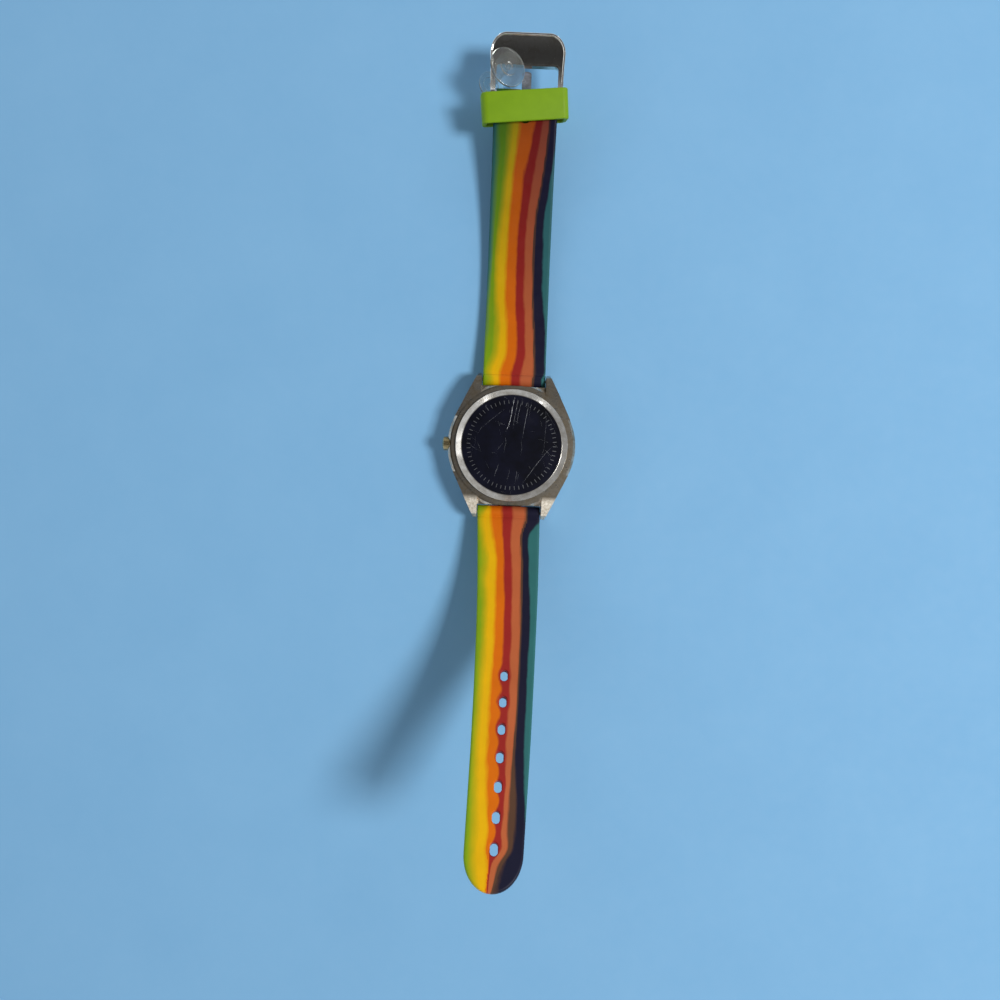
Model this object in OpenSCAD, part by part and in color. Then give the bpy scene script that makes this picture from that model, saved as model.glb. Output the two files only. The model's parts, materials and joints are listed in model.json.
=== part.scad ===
// Child's quartz wristwatch lying face down, with a rainbow strap and a pin buckle.
// Origin: centre of the crystal's outer face. +Z runs to the caseback, +Y to the buckle,
// and the crown points along -X.

/* [Case] */
// Diameter of the dial, which sets the case's bore
dial_d = 26.4; // [25.6:0.1:28]
// Thickness of the case wall round the bore
case_wall = 2.85; // [2.6:0.05:3.4]
// Width of the flange that the dial is pressed against
dial_seat = 0.8; // [0.6:0.05:1]
// Case wall left behind the end of a strap
slot_wall = 1.7; // [1.4:0.05:2]
// Distance that the bezel is set in from the case's outer wall
bezel_step = 0.6; // [0.3:0.05:0.9]
// Distance that the bezel's front face is set back from the crystal's
bezel_set = 0.35; // [0.2:0.05:0.5]
// Chamfer along the edges of the case and bezel
case_edge = 0.5; // [0.3:0.05:0.6]

/* [Lugs] */
// Gap between the lugs, which takes the strap
lug_gap = 16.4; // [15.8:0.1:17]
// Width of a lug across its tip
lug_tip_w = 0.9; // [0.7:0.05:1.2]
// Reach of a lug past its spring bar
lug_tip = 1.5; // [1.3:0.05:1.8]
// Height of the spring bars over the crystal's face
bar_z = 3.85; // [3.7:0.05:4]

/* [Crystal and caseback] */
// Thickness of the flat crystal
crystal_t = 1.5; // [1.2:0.05:1.8]
// Width of the ledge that the crystal sits on
crystal_lap = 0.6; // [0.5:0.05:0.7]
// Thickness of the caseback's plate
caseback_t = 1; // [0.8:0.05:1.2]
// Height of the caseback over the case's back face
caseback_rise = 1.5; // [1.3:0.05:1.6]
// Overlap of the caseback's lip on the case
caseback_lip = 0.75; // [0.6:0.05:1]
// Width of the caseback's polished bevel
caseback_bevel = 1.45; // [1.2:0.05:1.6]

/* [Dial and hands] */
// Room for the hands between crystal and dial
hand_room = 2; // [1.9:0.05:2.4]
// Thickness of the dial
dial_t = 0.4; // [0.3:0.05:0.5]
// Thickness of a hand
hand_t = 0.15; // [0.1:0.01:0.18]
// Length of the hour hand
hour_hand_len = 6.6; // [5:0.1:7.4]
// Length of the minute hand
minute_hand_len = 9.4; // [8:0.1:10]
// Length of the second hand
second_hand_len = 10.4; // [9:0.1:10.8]

/* [Crown] */
// Diameter of the crown
crown_d = 3.5; // [3.2:0.1:3.8]
// Length of the crown
crown_len = 2.1; // [1.9:0.05:2.4]
// Number of flutes round the crown
crown_flutes = 22; // [16:1:28]
// How far the crown pulls out to set the hands
crown_pull = 0.9; // [0.7:0.05:1]

/* [Movement] */
// Height of the movement
movement_t = 3.6; // [3.55:0.05:4]
// Room between the movement and the caseback
back_room = 0.5; // [0.35:0.05:0.7]
// Thickness of the main plate
plate_t = 1.2; // [1.15:0.05:1.3]
// Thickness of the train wheels
wheel_t = 0.18; // [0.16:0.01:0.19]
// Gap between the layers of train wheels
layer_gap = 0.14; // [0.12:0.01:0.15]
// Diameter of the battery
battery_d = 6.8; // [6.4:0.1:7.2]
// Thickness of the battery
battery_t = 2.6; // [2.4:0.05:2.65]
// Distance from the centre to the third wheel
third_dist = 2.55; // [2.45:0.05:2.6]
// Distance from the centre to the intermediate wheel
fifth_dist = 2.65; // [2.6:0.01:2.68]
// Distance from the intermediate wheel to the rotor
rotor_dist = 2.3; // [2.25:0.01:2.35]
// Distance from the centre to the minute wheel
minute_dist = 2.24; // [2.2:0.01:2.3]

/* [Strap] */
// Width of the strap
strap_w = 16; // [15.2:0.1:16.2]
// Thickness of the strap
strap_t = 2.1; // [1.9:0.05:2.15]
// Radius of the boss that holds a spring bar
boss_r = 1.6; // [1.4:0.05:1.65]
// Length of the buckle strap from spring bar to buckle bar
buckle_strap_len = 71.6; // [69:0.1:75]
// Radius that the buckle strap is curved to
buckle_strap_r = 145; // [135:1:165]
// Length of the hole strap from spring bar to tip
hole_strap_len = 88; // [84:0.2:92]
// Radius that the hole strap's first stretch is curved to
hole_strap_r = 107; // [95:1:120]
// Radius that the hole strap's last stretch is curved to
tip_strap_r = 2000; // [1500:50:2500]
// Width of the hole strap just before its rounded tip
tip_w = 12.6; // [11:0.1:14]
// Length of the rounded tip
tip_len = 7.5; // [6:0.1:9]
// Number of holes
hole_count = 7; // [5:1:7]
// Distance between holes
hole_pitch = 6.35; // [6:0.05:6.6]
// Distance from the last hole to the tip
hole_tail = 8.3; // [8:0.1:9.6]
// Width of a hole
hole_w = 1.7; // [1.5:0.05:2.1]
// Length of a hole along the strap
hole_len = 2.65; // [2.5:0.05:3]

/* [Keeper] */
// Play between the buckle frame's edge and the keeper's side
keeper_play = 0.75; // [0.7:0.05:0.95]
// Length of the keeper along the strap
keeper_len = 7; // [6.4:0.1:7.6]
// Wall of the keeper
keeper_wall = 1.1; // [0.9:0.05:1.2]
// Height of the keeper's opening
keeper_room = 4.5; // [4.3:0.05:4.6]

/* [Buckle] */
// Outer width of the buckle frame at its bar
frame_w = 17.9; // [17.6:0.1:18.2]
// How far the plate stands out past each arm
plate_flare = 0.35; // [0.15:0.05:0.55]
// Width of the frame's arms
arm_w = 1.2; // [1:0.05:1.25]
// Thickness of the frame
frame_t = 1.3; // [1.1:0.05:1.4]
// Distance from the buckle bar to the plate
window_len = 6.8; // [6.6:0.05:7]
// Length of the plate across the frame
plate_len = 6.9; // [6.4:0.1:7.3]
// Radius that the frame is curved to
frame_r = 22; // [20:0.5:26]
// Diameter of the buckle bar
buckle_bar_d = 1.5; // [1.3:0.05:1.6]
// Width of the tongue
tongue_w = 2.4; // [2.2:0.05:2.6]
// Length of the tongue from the buckle bar
tongue_len = 10.4; // [10.2:0.1:10.9]
// Thickness of the tongue
tongue_t = 0.9; // [0.7:0.05:1]

/* [Tag button] */
// Diameter of the upper clear disc
tag_d = 9.5; // [9:0.1:9.6]
// Diameter of the lower clear disc
tag_foot_d = 7; // [6.4:0.1:7.4]
// Thickness of a clear disc
tag_t = 0.7; // [0.5:0.05:0.75]
// Distance between the middles of the two discs
tag_gap = 9.4; // [9.3:0.05:9.8]
// Diameter of the post between the discs
tag_post_d = 1.4; // [1.2:0.05:1.6]

/* [Hidden] */
$fn = 96;

// How far a cut runs past the face that it opens
overrun = 1;
// Radial clearance of a turning fit
running_fit = 0.05;
// Radial clearance of a pressed fit
pressed_fit = 0.01;

// Heights of the stack, from the crystal up to the caseback
seat_clear = 0.15;
ledge_t = 0.4;
neck_h = 0.35;
neck_clear = 0.05;
z_ledge = crystal_t + ledge_t;
z_neck = z_ledge + neck_clear;
z_front = z_neck + neck_h;
z_dial = crystal_t + hand_room;
z_plate = z_dial + dial_t;
z_train = z_plate + plate_t;
z_move_top = z_plate + movement_t;
z_back_in = z_move_top + back_room;
z_back = z_back_in + caseback_t;
z_case_back = z_back - caseback_rise;
back_gasket_t = 0.15;
z_lip = z_case_back + back_gasket_t;

// Radii of the case, crystal and caseback
dial_r = dial_d / 2;
bore_r = dial_r + seat_clear;
case_r = bore_r + case_wall;
aperture_r = dial_r - dial_seat;
crystal_r = aperture_r + crystal_lap;
gasket_wall = 0.4;
bezel_in_r = crystal_r + gasket_wall;
bezel_r = case_r - bezel_step;
neck_wall = 0.8;
neck_r = bezel_in_r + neck_wall;
crystal_edge = 0.25;
back_step_in = 1;
back_step_w = 0.4;
back_step_h = 0.7;
back_chamfer_h = 1.3;
caseback_r = bore_r + caseback_lip;
caseback_edge = 0.45;
skirt_t = 0.6;
skirt_h = 0.9;
skirt_r = bore_r - 2 * running_fit;
gasket_inset = 0.2;

// Strap slots, spring bars and lugs
strap_clear = 0.25;
slot_y = bore_r + slot_wall;
bar_y = slot_y + strap_clear + boss_r;
lug_in = lug_gap / 2;
lug_tip_y = bar_y + lug_tip;
lug_tip_h = 1.2;
lug_front_rise = 0.4;
lug_back_drop = 0.45;
lug_shoulder = 3.6;
lug_slope = 0.9;
lug_corner = 0.9;
barrel_r = 0.75;
barrel_bore_r = 0.52;
barrel_play = 0.6;
barrel_len = lug_gap - 2 * barrel_play;
barrel_lip = 0.3;
tip_r = 0.38;
tip_reach = 0.9;
tip_head_r = barrel_bore_r - running_fit;
tip_head_len = 2.4;
tip_travel = 1.2;
spring_wire_r = 0.09;
spring_coil_r = 0.36;
spring_turns = 10;
spring_gap = 0.1;
turn_rings = 8;
wire_sides = 6;

// Crown, stem and setting work
stem_rise = 1;
crown_z = z_plate + stem_rise;
crown_r = crown_d / 2;
crown_recess_wall = 2;
crown_recess_clear = 0.25;
crown_gap = 0.1;
crown_seat_x = bore_r + crown_recess_wall;
crown_in_x = crown_seat_x + crown_gap;
crown_out_x = crown_in_x + crown_len;
crown_dome = 0.35;
crown_cavity_r = 1.2;
crown_cavity = 1.2;
flute_depth = 0.16;
flute_root_share = 0.28;
flute_tip_share = 0.2;
tube_r = 0.85;
tube_bore_r = 0.5;
tube_out = 0.9;
crown_gasket_len = 0.6;
stem_r = tube_bore_r - running_fit;
stem_in_crown = 0.5;
stem_square = 0.4;
square_bore_r = stem_square / sqrt(2) + running_fit;
stem_groove_r = 0.27;
stem_groove_w = 0.46;
clutch_r = 0.6;
clutch_len = 0.7;
clutch_teeth = 10;
clutch_gap = 0.25;
clutch_slot_clear = 0.15;
lever_arm = 1.9;
lever_w = 0.6;
lever_t = 0.2;
lever_pin_r = 0.25;
lever_finger_r = 0.15;
lever_finger_clear = 0.04;
lever_rise = 0.05;
lever_setback = 1;

// Train: tooth counts, tooth shape and layers
rotor_teeth = 6;
fifth_teeth = 36;
fifth_pinion_teeth = 6;
fourth_teeth = 30;
fourth_pinion_teeth = 6;
third_teeth = 45;
third_pinion_teeth = 6;
centre_teeth = 48;
cannon_teeth = 8;
minute_teeth = 24;
minute_pinion_teeth = 6;
hour_teeth = 24;
setting_teeth = 16;
addendum_share = 0.85;
dedendum_share = 1.1;
tooth_root_share = 0.25;
tooth_tip_share = 0.11;
third_angle = 90;
rotor_angle = 240;
battery_angle = -20;
pivot_r = 0.1;
pivot_len = 0.25;
arbor_r = 0.15;
tooth_overlap = 0.05;
layer_step = wheel_t + layer_gap;
z_bridge = z_train + 4 * layer_step + layer_gap;
bridge_t = 0.4;
seconds_arbor_r = 0.12;
cannon_bore_r = seconds_arbor_r + running_fit;
cannon_r = 0.34;
hour_bore_r = cannon_r + running_fit;
hour_tube_r = 0.58;
dial_hole_r = hour_tube_r + 3 * running_fit;
motion_gap = 0.06;
motion_depth = 2 * wheel_t + 3 * motion_gap;
z_motion_hour = z_plate + motion_gap;
z_motion_minute = z_motion_hour + wheel_t + motion_gap;
recess_clear = 0.15;
centre_tip_r = tip_radius(centre_teeth, module_of(third_dist, centre_teeth, third_pinion_teeth));

// Battery, holder and electric parts
battery_clear = 0.15;
battery_r = battery_d / 2;
battery_dist = centre_tip_r + battery_clear + battery_r;
battery_floor = 0.9;
battery_rim = 0.4;
battery_edge = 0.2;
z_battery = z_plate + battery_floor;
z_battery_top = z_battery + battery_t;
movement_r = battery_dist + battery_r + battery_rim;
holder_clear = 0.1;
holder_r = skirt_r - skirt_t - holder_clear;
clip_t = 0.15;
clip_w = 1.6;
clip_foot = 0.9;
clip_reach_share = 0.6;
board_t = 0.25;
board_in_gap = 0.4;
board_rim = 0.35;
board_start = 28;
board_end = 92;
can_r = 0.7;
can_len = 4.6;
can_angle = 48;
chip_w = 1.6;
chip_h = 0.6;
chip_angle = 80;
magnet_r = 0.75;
magnet_t = 0.6;
stator_t = 0.4;
stator_lift = 0.45;
stator_clear = 0.25;
stator_bar = 1.4;
stator_leg = 0.9;
winding_r = 0.95;
winding_len = 4.8;
core_len = 8;
core_w = 1;
core_t = 0.4;
coil_gap = 0.5;
pillar_r = 0.45;
pillar_dist_1 = 5.2;
pillar_dist_2 = 4.4;
pillar_dist_3 = 3.1;
pillar_angle_1 = 140;
pillar_angle_2 = 27;
pillar_angle_3 = 300;
bridge_rim = 0.75;
screw_r = 0.2;
screw_head_r = 0.4;
screw_head_t = 0.2;
screw_depth = 0.5;
screw_slot_w = 0.12;
screw_slot_depth = 0.1;

// Dial and hands
hand_gap = 0.3;
z_second = crystal_t + hand_gap;
z_minute = z_second + hand_t + hand_gap;
z_hour = z_minute + hand_t + hand_gap;
marker_t = 0.2;
marker_len = 0.9;
marker_w = 0.4;
marker_edge = 0.35;
hour_now = 10;
minute_now = 10;
second_now = 35;
second_angle = 6 * second_now;
minute_angle = 6 * (minute_now + second_now / 60);
hour_angle = 30 * (hour_now + minute_now / 60);
hand_eye = 0.35;
hour_hand_w = 1.3;
minute_hand_w = 1;
second_hand_w = 0.35;
hand_tail_share = 0.22;
hand_widest_share = 0.62;
hand_waist_share = 0.45;
second_tip_share = 0.4;

// Buckle strap: an arc that sags from the spring bar and rises to the buckle
buckle_start = 9.6;
buckle_turn = degrees(buckle_strap_len / buckle_strap_r) - buckle_start;
buckle_arc = [bar_y + buckle_strap_r * sin(buckle_start), bar_z + buckle_strap_r * cos(buckle_start)];
pin = arc_point(buckle_arc, buckle_strap_r, buckle_turn);
strap_edge = 0.55;
strap_end_w = frame_w - 2 * arm_w - 2 * strap_clear;
strap_end_len = 2.6;
pin_boss_r = 1.2;
pin_r = buckle_bar_d / 2;
pin_bore_r = pin_r + running_fit;
tongue_slot_clear = 0.35;
tongue_slot_len = 5.7;
crease_w = 0.35;
crease_depth = 0.2;
crease_at = 1.25;

// Hole strap: two arcs that run on from one another, built towards +Y and then mirrored
hole_start = 8;
hole_turn = 34;
first_len = hole_strap_r * radians(hole_turn - hole_start);
hole_arc = [bar_y - hole_strap_r * sin(hole_start), bar_z + hole_strap_r * cos(hole_start)];
tip_arc = arc_point(hole_arc, hole_strap_r - tip_strap_r, hole_turn);
tip_turn = hole_turn + degrees((hole_strap_len - first_len) / tip_strap_r);
cut_tilt = 28;
arc_overlap = 0.02;

// Keeper, buckle and tag button
keeper_clear = 1;
keeper_lap = 0.5;
keeper_shift = 0.12;
keeper_roll = 5;
keeper_round = 1.6;
keeper_inner_round = 0.7;
keeper_skew = 6;
keeper_w = max(strap_w, frame_w) + 2 * (keeper_play + keeper_wall);
keeper_h = keeper_room + 2 * keeper_wall;
keeper_turn = buckle_turn - degrees((keeper_len / 2 - keeper_lap) / buckle_strap_r);
frame_start = 10;
frame_in_w = frame_w - 2 * arm_w;
plate_w = frame_w + 2 * plate_flare;
frame_arc = [pin[0] + frame_r * sin(frame_start), pin[1] + frame_r * cos(frame_start)];
frame_end = asin((window_len + plate_len) / frame_r - sin(frame_start));
frame_corner = 4;
window_corner = 0.9;
corner_steps = 8;
ear_r = 1.15;
rim_w = 0.4;
field_depth = 0.3;
tongue_drop = 34.5;
tag_off = 0.8;
tag_reach = 4.95;
tag_sink = 1.5;
tag_tilt = 26;
tag_edge = 0.2;
tag_hub_d = 4.2;
tag_hub_t = 0.35;
tag_hole_d = 2;
tag_x = -(frame_in_w / 2 - tag_off);
tag_y = pin[0] + tag_reach;
tag_z = pin[1] - tag_sink;

// Radians as degrees, and degrees as radians
function degrees(angle) = angle * 180 / PI;
function radians(angle) = angle * PI / 180;
// A place at a distance and angle from the centre
function polar(dist, angle) = dist * [cos(angle), sin(angle)];
// The place, as [y, z], at an angle on an arc: 0 is the arc's lowest point
function arc_point(centre, r, angle) = [centre[0] + r * sin(angle), centre[1] - r * cos(angle)];
// The size of the teeth of two wheels that mesh at a distance
function module_of(dist, teeth_a, teeth_b) = 2 * dist / (teeth_a + teeth_b);
function tip_radius(teeth, size) = (teeth / 2 + addendum_share) * size;
function root_radius(teeth, size) = (teeth / 2 - dedendum_share) * size;
// The outline of a wheel with a tooth at the angle phase
function gear_points(teeth, size, phase) = [
    for (i = [0 : teeth - 1], k = [0 : 3])
        let (
            share = [-tooth_root_share, -tooth_tip_share, tooth_tip_share, tooth_root_share][k],
            r = k == 0 || k == 3 ? root_radius(teeth, size) : tip_radius(teeth, size)
        ) polar(r, phase + (i + share) * 360 / teeth)
];
// The outline of a rectangle with round corners, centred
function rounded_points(w, h, r, steps = 6) = [
    for (corner = [0 : 3], i = [0 : steps])
        let (
            across = corner == 0 || corner == 3 ? 1 : -1,
            up = corner < 2 ? 1 : -1
        ) [across * (w / 2 - r), up * (h / 2 - r)] + polar(r, corner * 90 + i * 90 / steps)
];
// The outline of a hand that points along +Y
function hand_points(len, w) = [
    [-w * hand_waist_share / 2, -len * hand_tail_share],
    [w * hand_waist_share / 2, -len * hand_tail_share],
    [w * hand_waist_share / 2, 0],
    [w / 2, len * hand_widest_share],
    [0, len],
    [-w / 2, len * hand_widest_share],
    [-w * hand_waist_share / 2, 0]
];
// The place and slope of the hole strap's middle at a distance from its spring bar
function hole_strap_angle(s) = s < first_len
    ? degrees(s / hole_strap_r) + hole_start
    : hole_turn + degrees((s - first_len) / tip_strap_r);
function hole_strap_point(s) = s < first_len
    ? arc_point(hole_arc, hole_strap_r, hole_strap_angle(s))
    : arc_point(tip_arc, tip_strap_r, hole_strap_angle(s));
// How far the hole strap reaches along the tilted plane that its outline is cut in
function cut_reach(s) = (hole_strap_point(s) - [bar_y, bar_z]) * [cos(cut_tilt), sin(cut_tilt)];
// The rings of a coil spring round the X axis, and its faces
function spring_ring(i, pitch) = let (turn = i * 360 / turn_rings) [
    for (k = [0 : wire_sides - 1])
        let (
            side = k * 360 / wire_sides,
            r = spring_coil_r + spring_wire_r * cos(side)
        ) [i * pitch / turn_rings + spring_wire_r * sin(side), r * cos(turn), r * sin(turn)]
];

// A rod along X, between two places
module rod_x(r, from, to) {
    translate([from, 0, 0])
        rotate([0, 90, 0])
            cylinder(r = r, h = to - from);
}

// A ring or tube along Z
module ring(outer, inner, from, to) {
    translate([0, 0, from])
        difference() {
            cylinder(r = outer, h = to - from);
            translate([0, 0, -overrun])
                cylinder(r = inner, h = to - from + 2 * overrun);
        }
}

// A wheel with teeth
module gear(teeth, size, t, phase) {
    linear_extrude(t)
        polygon(gear_points(teeth, size, phase));
}

// Part of a revolved band round an X axis at [y, z], with its profile as [radius, x]
module band(centre, from, to) {
    translate([0, centre[0], centre[1]])
        rotate([0, 90, 0])
            rotate_extrude(angle = to - from, start = from, $fn = 720)
                children();
}

// What stands at a place and slope in the YZ plane
module at_slope(place, slope) {
    translate([0, place[0], place[1]])
        rotate([slope, 0, 0])
            children();
}

// Case: a turned ring with four lugs
module lug() {
    corner = [lug_in + lug_tip_w, lug_tip_y];
    touch = polar(case_r, atan2(corner[1], corner[0]) - acos(case_r / norm(corner)));
    back = z_case_back - lug_back_drop;
    tip_low = bar_z - lug_tip_h / 2;
    intersection() {
        linear_extrude(z_case_back)
            polygon([[lug_in, touch[1]], [lug_in, lug_tip_y], corner, touch]);
        rotate([90, 0, 90])
            linear_extrude(case_r)
                polygon([
                    [0, z_front],
                    [bar_y, z_front],
                    [lug_tip_y, tip_low + lug_front_rise],
                    [lug_tip_y, tip_low + lug_tip_h],
                    [lug_tip_y - lug_corner, back - lug_slope],
                    [bar_y - lug_shoulder, back],
                    [0, back]
                ]);
    }
}

// Fills the corners between the round ring and the strap's end, from lug to lug
module saddle() {
    difference() {
        translate([-lug_in - overrun, 0, z_front])
            cube([lug_gap + 2 * overrun, slot_y, z_case_back - back_chamfer_h - z_front]);
        cylinder(r = bore_r, h = z_back);
    }
}

module case_ring() {
    step_r = case_r - back_step_in;
    rotate_extrude()
        polygon([
            [aperture_r, z_neck],
            [neck_r, z_neck],
            [neck_r, z_front],
            [case_r - case_edge, z_front],
            [case_r, z_front + case_edge],
            [case_r, z_case_back - back_chamfer_h],
            [step_r + back_step_w, z_case_back - back_step_h],
            [step_r, z_case_back - back_step_h],
            [step_r, z_case_back],
            [bore_r, z_case_back],
            [bore_r, z_dial],
            [aperture_r, z_dial]
        ]);
}

module case_body() {
    color("silver")
        difference() {
            union() {
                case_ring();
                for (across = [0, 1], along = [0, 1])
                    mirror([across, 0, 0])
                        mirror([0, along, 0])
                            difference() {
                                lug();
                                translate([0, 0, z_dial])
                                    cylinder(r = bore_r, h = z_back);
                                cylinder(r = bore_r, h = z_dial + tooth_overlap);
                            }
                for (along = [0, 1])
                    mirror([0, along, 0])
                        saddle();
            }
            for (along = [0, 1])
                mirror([0, along, 0]) {
                    translate([-lug_in, slot_y, 0])
                        cube([lug_gap, lug_tip_y, z_back]);
                    translate([0, bar_y, bar_z])
                        rod_x(tip_r + running_fit, -lug_in - tip_reach, lug_in + tip_reach);
                }
            translate([0, 0, crown_z]) {
                rod_x(crown_r + crown_recess_clear, -case_r - overrun, -crown_seat_x);
                rod_x(tube_r + pressed_fit, -case_r, -aperture_r);
            }
        }
}

module bezel() {
    color("silver")
        rotate_extrude()
            polygon([
                [bezel_in_r, bezel_set + case_edge / 2],
                [bezel_in_r + case_edge / 2, bezel_set],
                [bezel_r - 2 * case_edge, bezel_set],
                [bezel_r - case_edge / 2, bezel_set + case_edge / 2],
                [bezel_r, bezel_set + 2 * case_edge],
                [bezel_r, z_front],
                [neck_r + pressed_fit, z_front],
                [neck_r + pressed_fit, z_ledge],
                [aperture_r, z_ledge],
                [aperture_r, crystal_t],
                [bezel_in_r, crystal_t]
            ]);
}

module crystal() {
    color("aliceblue", 0.4)
        rotate_extrude()
            polygon([
                [0, 0],
                [crystal_r - crystal_edge, 0],
                [crystal_r, crystal_edge],
                [crystal_r, crystal_t],
                [0, crystal_t]
            ]);
}

module crystal_gasket() {
    color("whitesmoke")
        ring(bezel_in_r, crystal_r, bezel_set + case_edge, crystal_t);
}

module caseback() {
    flat_r = caseback_r - caseback_bevel;
    color("dimgray")
        rotate_extrude()
            polygon([
                [0, z_back_in],
                [skirt_r - skirt_t, z_back_in],
                [skirt_r - skirt_t, z_lip - skirt_h],
                [skirt_r, z_lip - skirt_h],
                [skirt_r, z_lip],
                [caseback_r, z_lip],
                [caseback_r, z_lip + caseback_edge],
                [flat_r, z_back],
                [0, z_back]
            ]);
}

module caseback_gasket() {
    color("black")
        ring(caseback_r - gasket_inset, bore_r, z_case_back, z_lip);
}

// Crown, stem and setting work
function crown_points() = [
    for (i = [0 : crown_flutes - 1], k = [0 : 3])
        let (
            share = [-flute_root_share, -flute_tip_share, flute_tip_share, flute_root_share][k],
            r = k == 0 || k == 3 ? crown_r - flute_depth : crown_r
        ) polar(r, (i + share) * 360 / crown_flutes)
];

module crown() {
    color("silver")
        translate([0, 0, crown_z])
            difference() {
                translate([-crown_out_x, 0, 0])
                    rotate([0, 90, 0])
                        intersection() {
                            linear_extrude(crown_len)
                                polygon(crown_points());
                            rotate_extrude()
                                polygon([
                                    [0, 0],
                                    [crown_r - 2 * crown_dome, 0],
                                    [crown_r, crown_dome],
                                    [crown_r, crown_len - crown_dome],
                                    [crown_r - crown_dome, crown_len],
                                    [0, crown_len]
                                ]);
                        }
                rod_x(crown_cavity_r, -crown_in_x - crown_cavity, -crown_in_x + overrun);
                rod_x(stem_r + pressed_fit, -crown_in_x - crown_cavity - stem_in_crown, -crown_in_x);
            }
}

module crown_gasket() {
    color("black")
        translate([-crown_in_x - crown_gasket_len, 0, crown_z])
            rotate([0, 90, 0])
                ring(crown_cavity_r - pressed_fit, tube_r + running_fit, 0, crown_gasket_len);
}

module crown_tube() {
    color("silver")
        translate([-crown_seat_x - tube_out, 0, crown_z])
            rotate([0, 90, 0])
                ring(tube_r, tube_bore_r, 0, tube_out + crown_seat_x - bore_r);
}

setting_size = module_of(minute_dist, cannon_teeth, minute_teeth);
setting_dist = setting_size * (minute_teeth + setting_teeth) / 2;
setting_x = minute_dist + setting_dist;
clutch_x = setting_x + tip_radius(setting_teeth, setting_size) + clutch_gap;
lever_x = clutch_x + clutch_len + lever_setback;
square_x = clutch_x + clutch_len + crown_pull / 2;

module setting_stem() {
    color("gray")
        translate([0, 0, crown_z]) {
            difference() {
                rod_x(stem_r, -crown_in_x - crown_cavity - stem_in_crown, -square_x);
                translate([-lever_x, 0, 0])
                    rotate([0, 90, 0])
                        ring(stem_r + overrun, stem_groove_r, -stem_groove_w / 2, stem_groove_w / 2);
            }
            translate([-square_x, -stem_square / 2, -stem_square / 2])
                cube([square_x - clutch_x + crown_pull, stem_square, stem_square]);
        }
}

module clutch_wheel() {
    size = clutch_r / (clutch_teeth / 2 + addendum_share);
    hole = stem_square + 2 * running_fit;
    color("goldenrod")
        translate([-clutch_x - clutch_len, 0, crown_z])
            rotate([0, 90, 0])
                difference() {
                    gear(clutch_teeth, size, clutch_len, 0);
                    translate([-hole / 2, -hole / 2, -overrun])
                        cube([hole, hole, clutch_len + 2 * overrun]);
                }
}

module setting_lever() {
    z_lever = crown_z + stem_r + lever_rise;
    z_finger = crown_z + stem_groove_r + lever_finger_clear;
    color("lightgray")
        translate([-lever_x, 0, 0]) {
            translate([-lever_w / 2, 0, z_lever])
                cube([lever_w, lever_arm, lever_t]);
            translate([0, lever_arm, z_plate + plate_t / 2])
                cylinder(r = lever_pin_r, h = z_lever + lever_t - z_plate - plate_t / 2);
            translate([0, lever_arm, z_lever])
                cylinder(r = lever_w * hand_widest_share, h = lever_t);
            translate([0, 0, z_finger])
                cylinder(r = lever_finger_r, h = z_lever + lever_t - z_finger);
        }
}

// Dial and hands
module dial() {
    color("white")
        ring(dial_r, dial_hole_r, z_dial, z_plate);
}

module hour_markers() {
    color("dimgray")
        for (hour = [0 : 11])
            rotate(hour * 30)
                translate([-marker_w / 2, aperture_r - marker_edge - marker_len, z_dial - marker_t])
                    cube([marker_w, marker_len, marker_t]);
}

// A hand that points along +Y, with an eye round its arbor
module hand(points, bore, z) {
    translate([0, 0, z])
        difference() {
            union() {
                linear_extrude(hand_t)
                    polygon(points);
                cylinder(r = bore + hand_eye, h = hand_t);
            }
            translate([0, 0, -overrun])
                cylinder(r = bore, h = hand_t + 2 * overrun);
        }
}

module hour_hand() {
    color("black")
        rotate(hour_angle)
            hand(hand_points(hour_hand_len, hour_hand_w), hour_tube_r, z_hour);
}

module minute_hand() {
    color("black")
        rotate(minute_angle)
            hand(hand_points(minute_hand_len, minute_hand_w), cannon_r, z_minute);
}

module second_hand() {
    tail = second_hand_len * hand_tail_share;
    half = second_hand_w / 2;
    end = half * second_tip_share;
    color("red")
        rotate(second_angle)
            hand(
                [[-half, -tail], [half, -tail], [end, second_hand_len], [-end, second_hand_len]],
                seconds_arbor_r,
                z_second
            );
}

// Train wheels: each arbor carries a wheel, a pinion and two pivots
module arbor(place, from, to) {
    translate([place[0], place[1], from])
        cylinder(r = arbor_r, h = to - from);
    translate([place[0], place[1], from - pivot_len])
        cylinder(r = pivot_r, h = to - from + 2 * pivot_len);
}

module gear_at(place, z, teeth, size, t, phase) {
    translate([place[0], place[1], z])
        gear(teeth, size, t, phase);
}

fifth_place = polar(fifth_dist, rotor_angle);
rotor_place = polar(fifth_dist + rotor_dist, rotor_angle);
third_place = polar(third_dist, third_angle);
fifth_size = module_of(fifth_dist, fifth_pinion_teeth, fourth_teeth);
rotor_size = module_of(rotor_dist, rotor_teeth, fifth_teeth);
third_size = module_of(third_dist, fourth_pinion_teeth, third_teeth);
centre_size = module_of(third_dist, third_pinion_teeth, centre_teeth);
hour_size = module_of(minute_dist, minute_pinion_teeth, hour_teeth);
z_centre_wheel = z_train + layer_gap;
z_third_wheel = z_centre_wheel + layer_step;
z_fourth_wheel = z_third_wheel + layer_step;
z_fifth_wheel = z_fourth_wheel + layer_step;
pinion_t = wheel_t + layer_gap;

module rotor() {
    color("darkslategray") {
        arbor(rotor_place, z_train + layer_gap, z_bridge - layer_gap);
        translate([rotor_place[0], rotor_place[1], z_train + stator_lift - tooth_overlap])
            cylinder(r = magnet_r, h = magnet_t);
        gear_at(rotor_place, z_fifth_wheel, rotor_teeth, rotor_size, wheel_t, rotor_angle + 180);
    }
}

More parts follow.
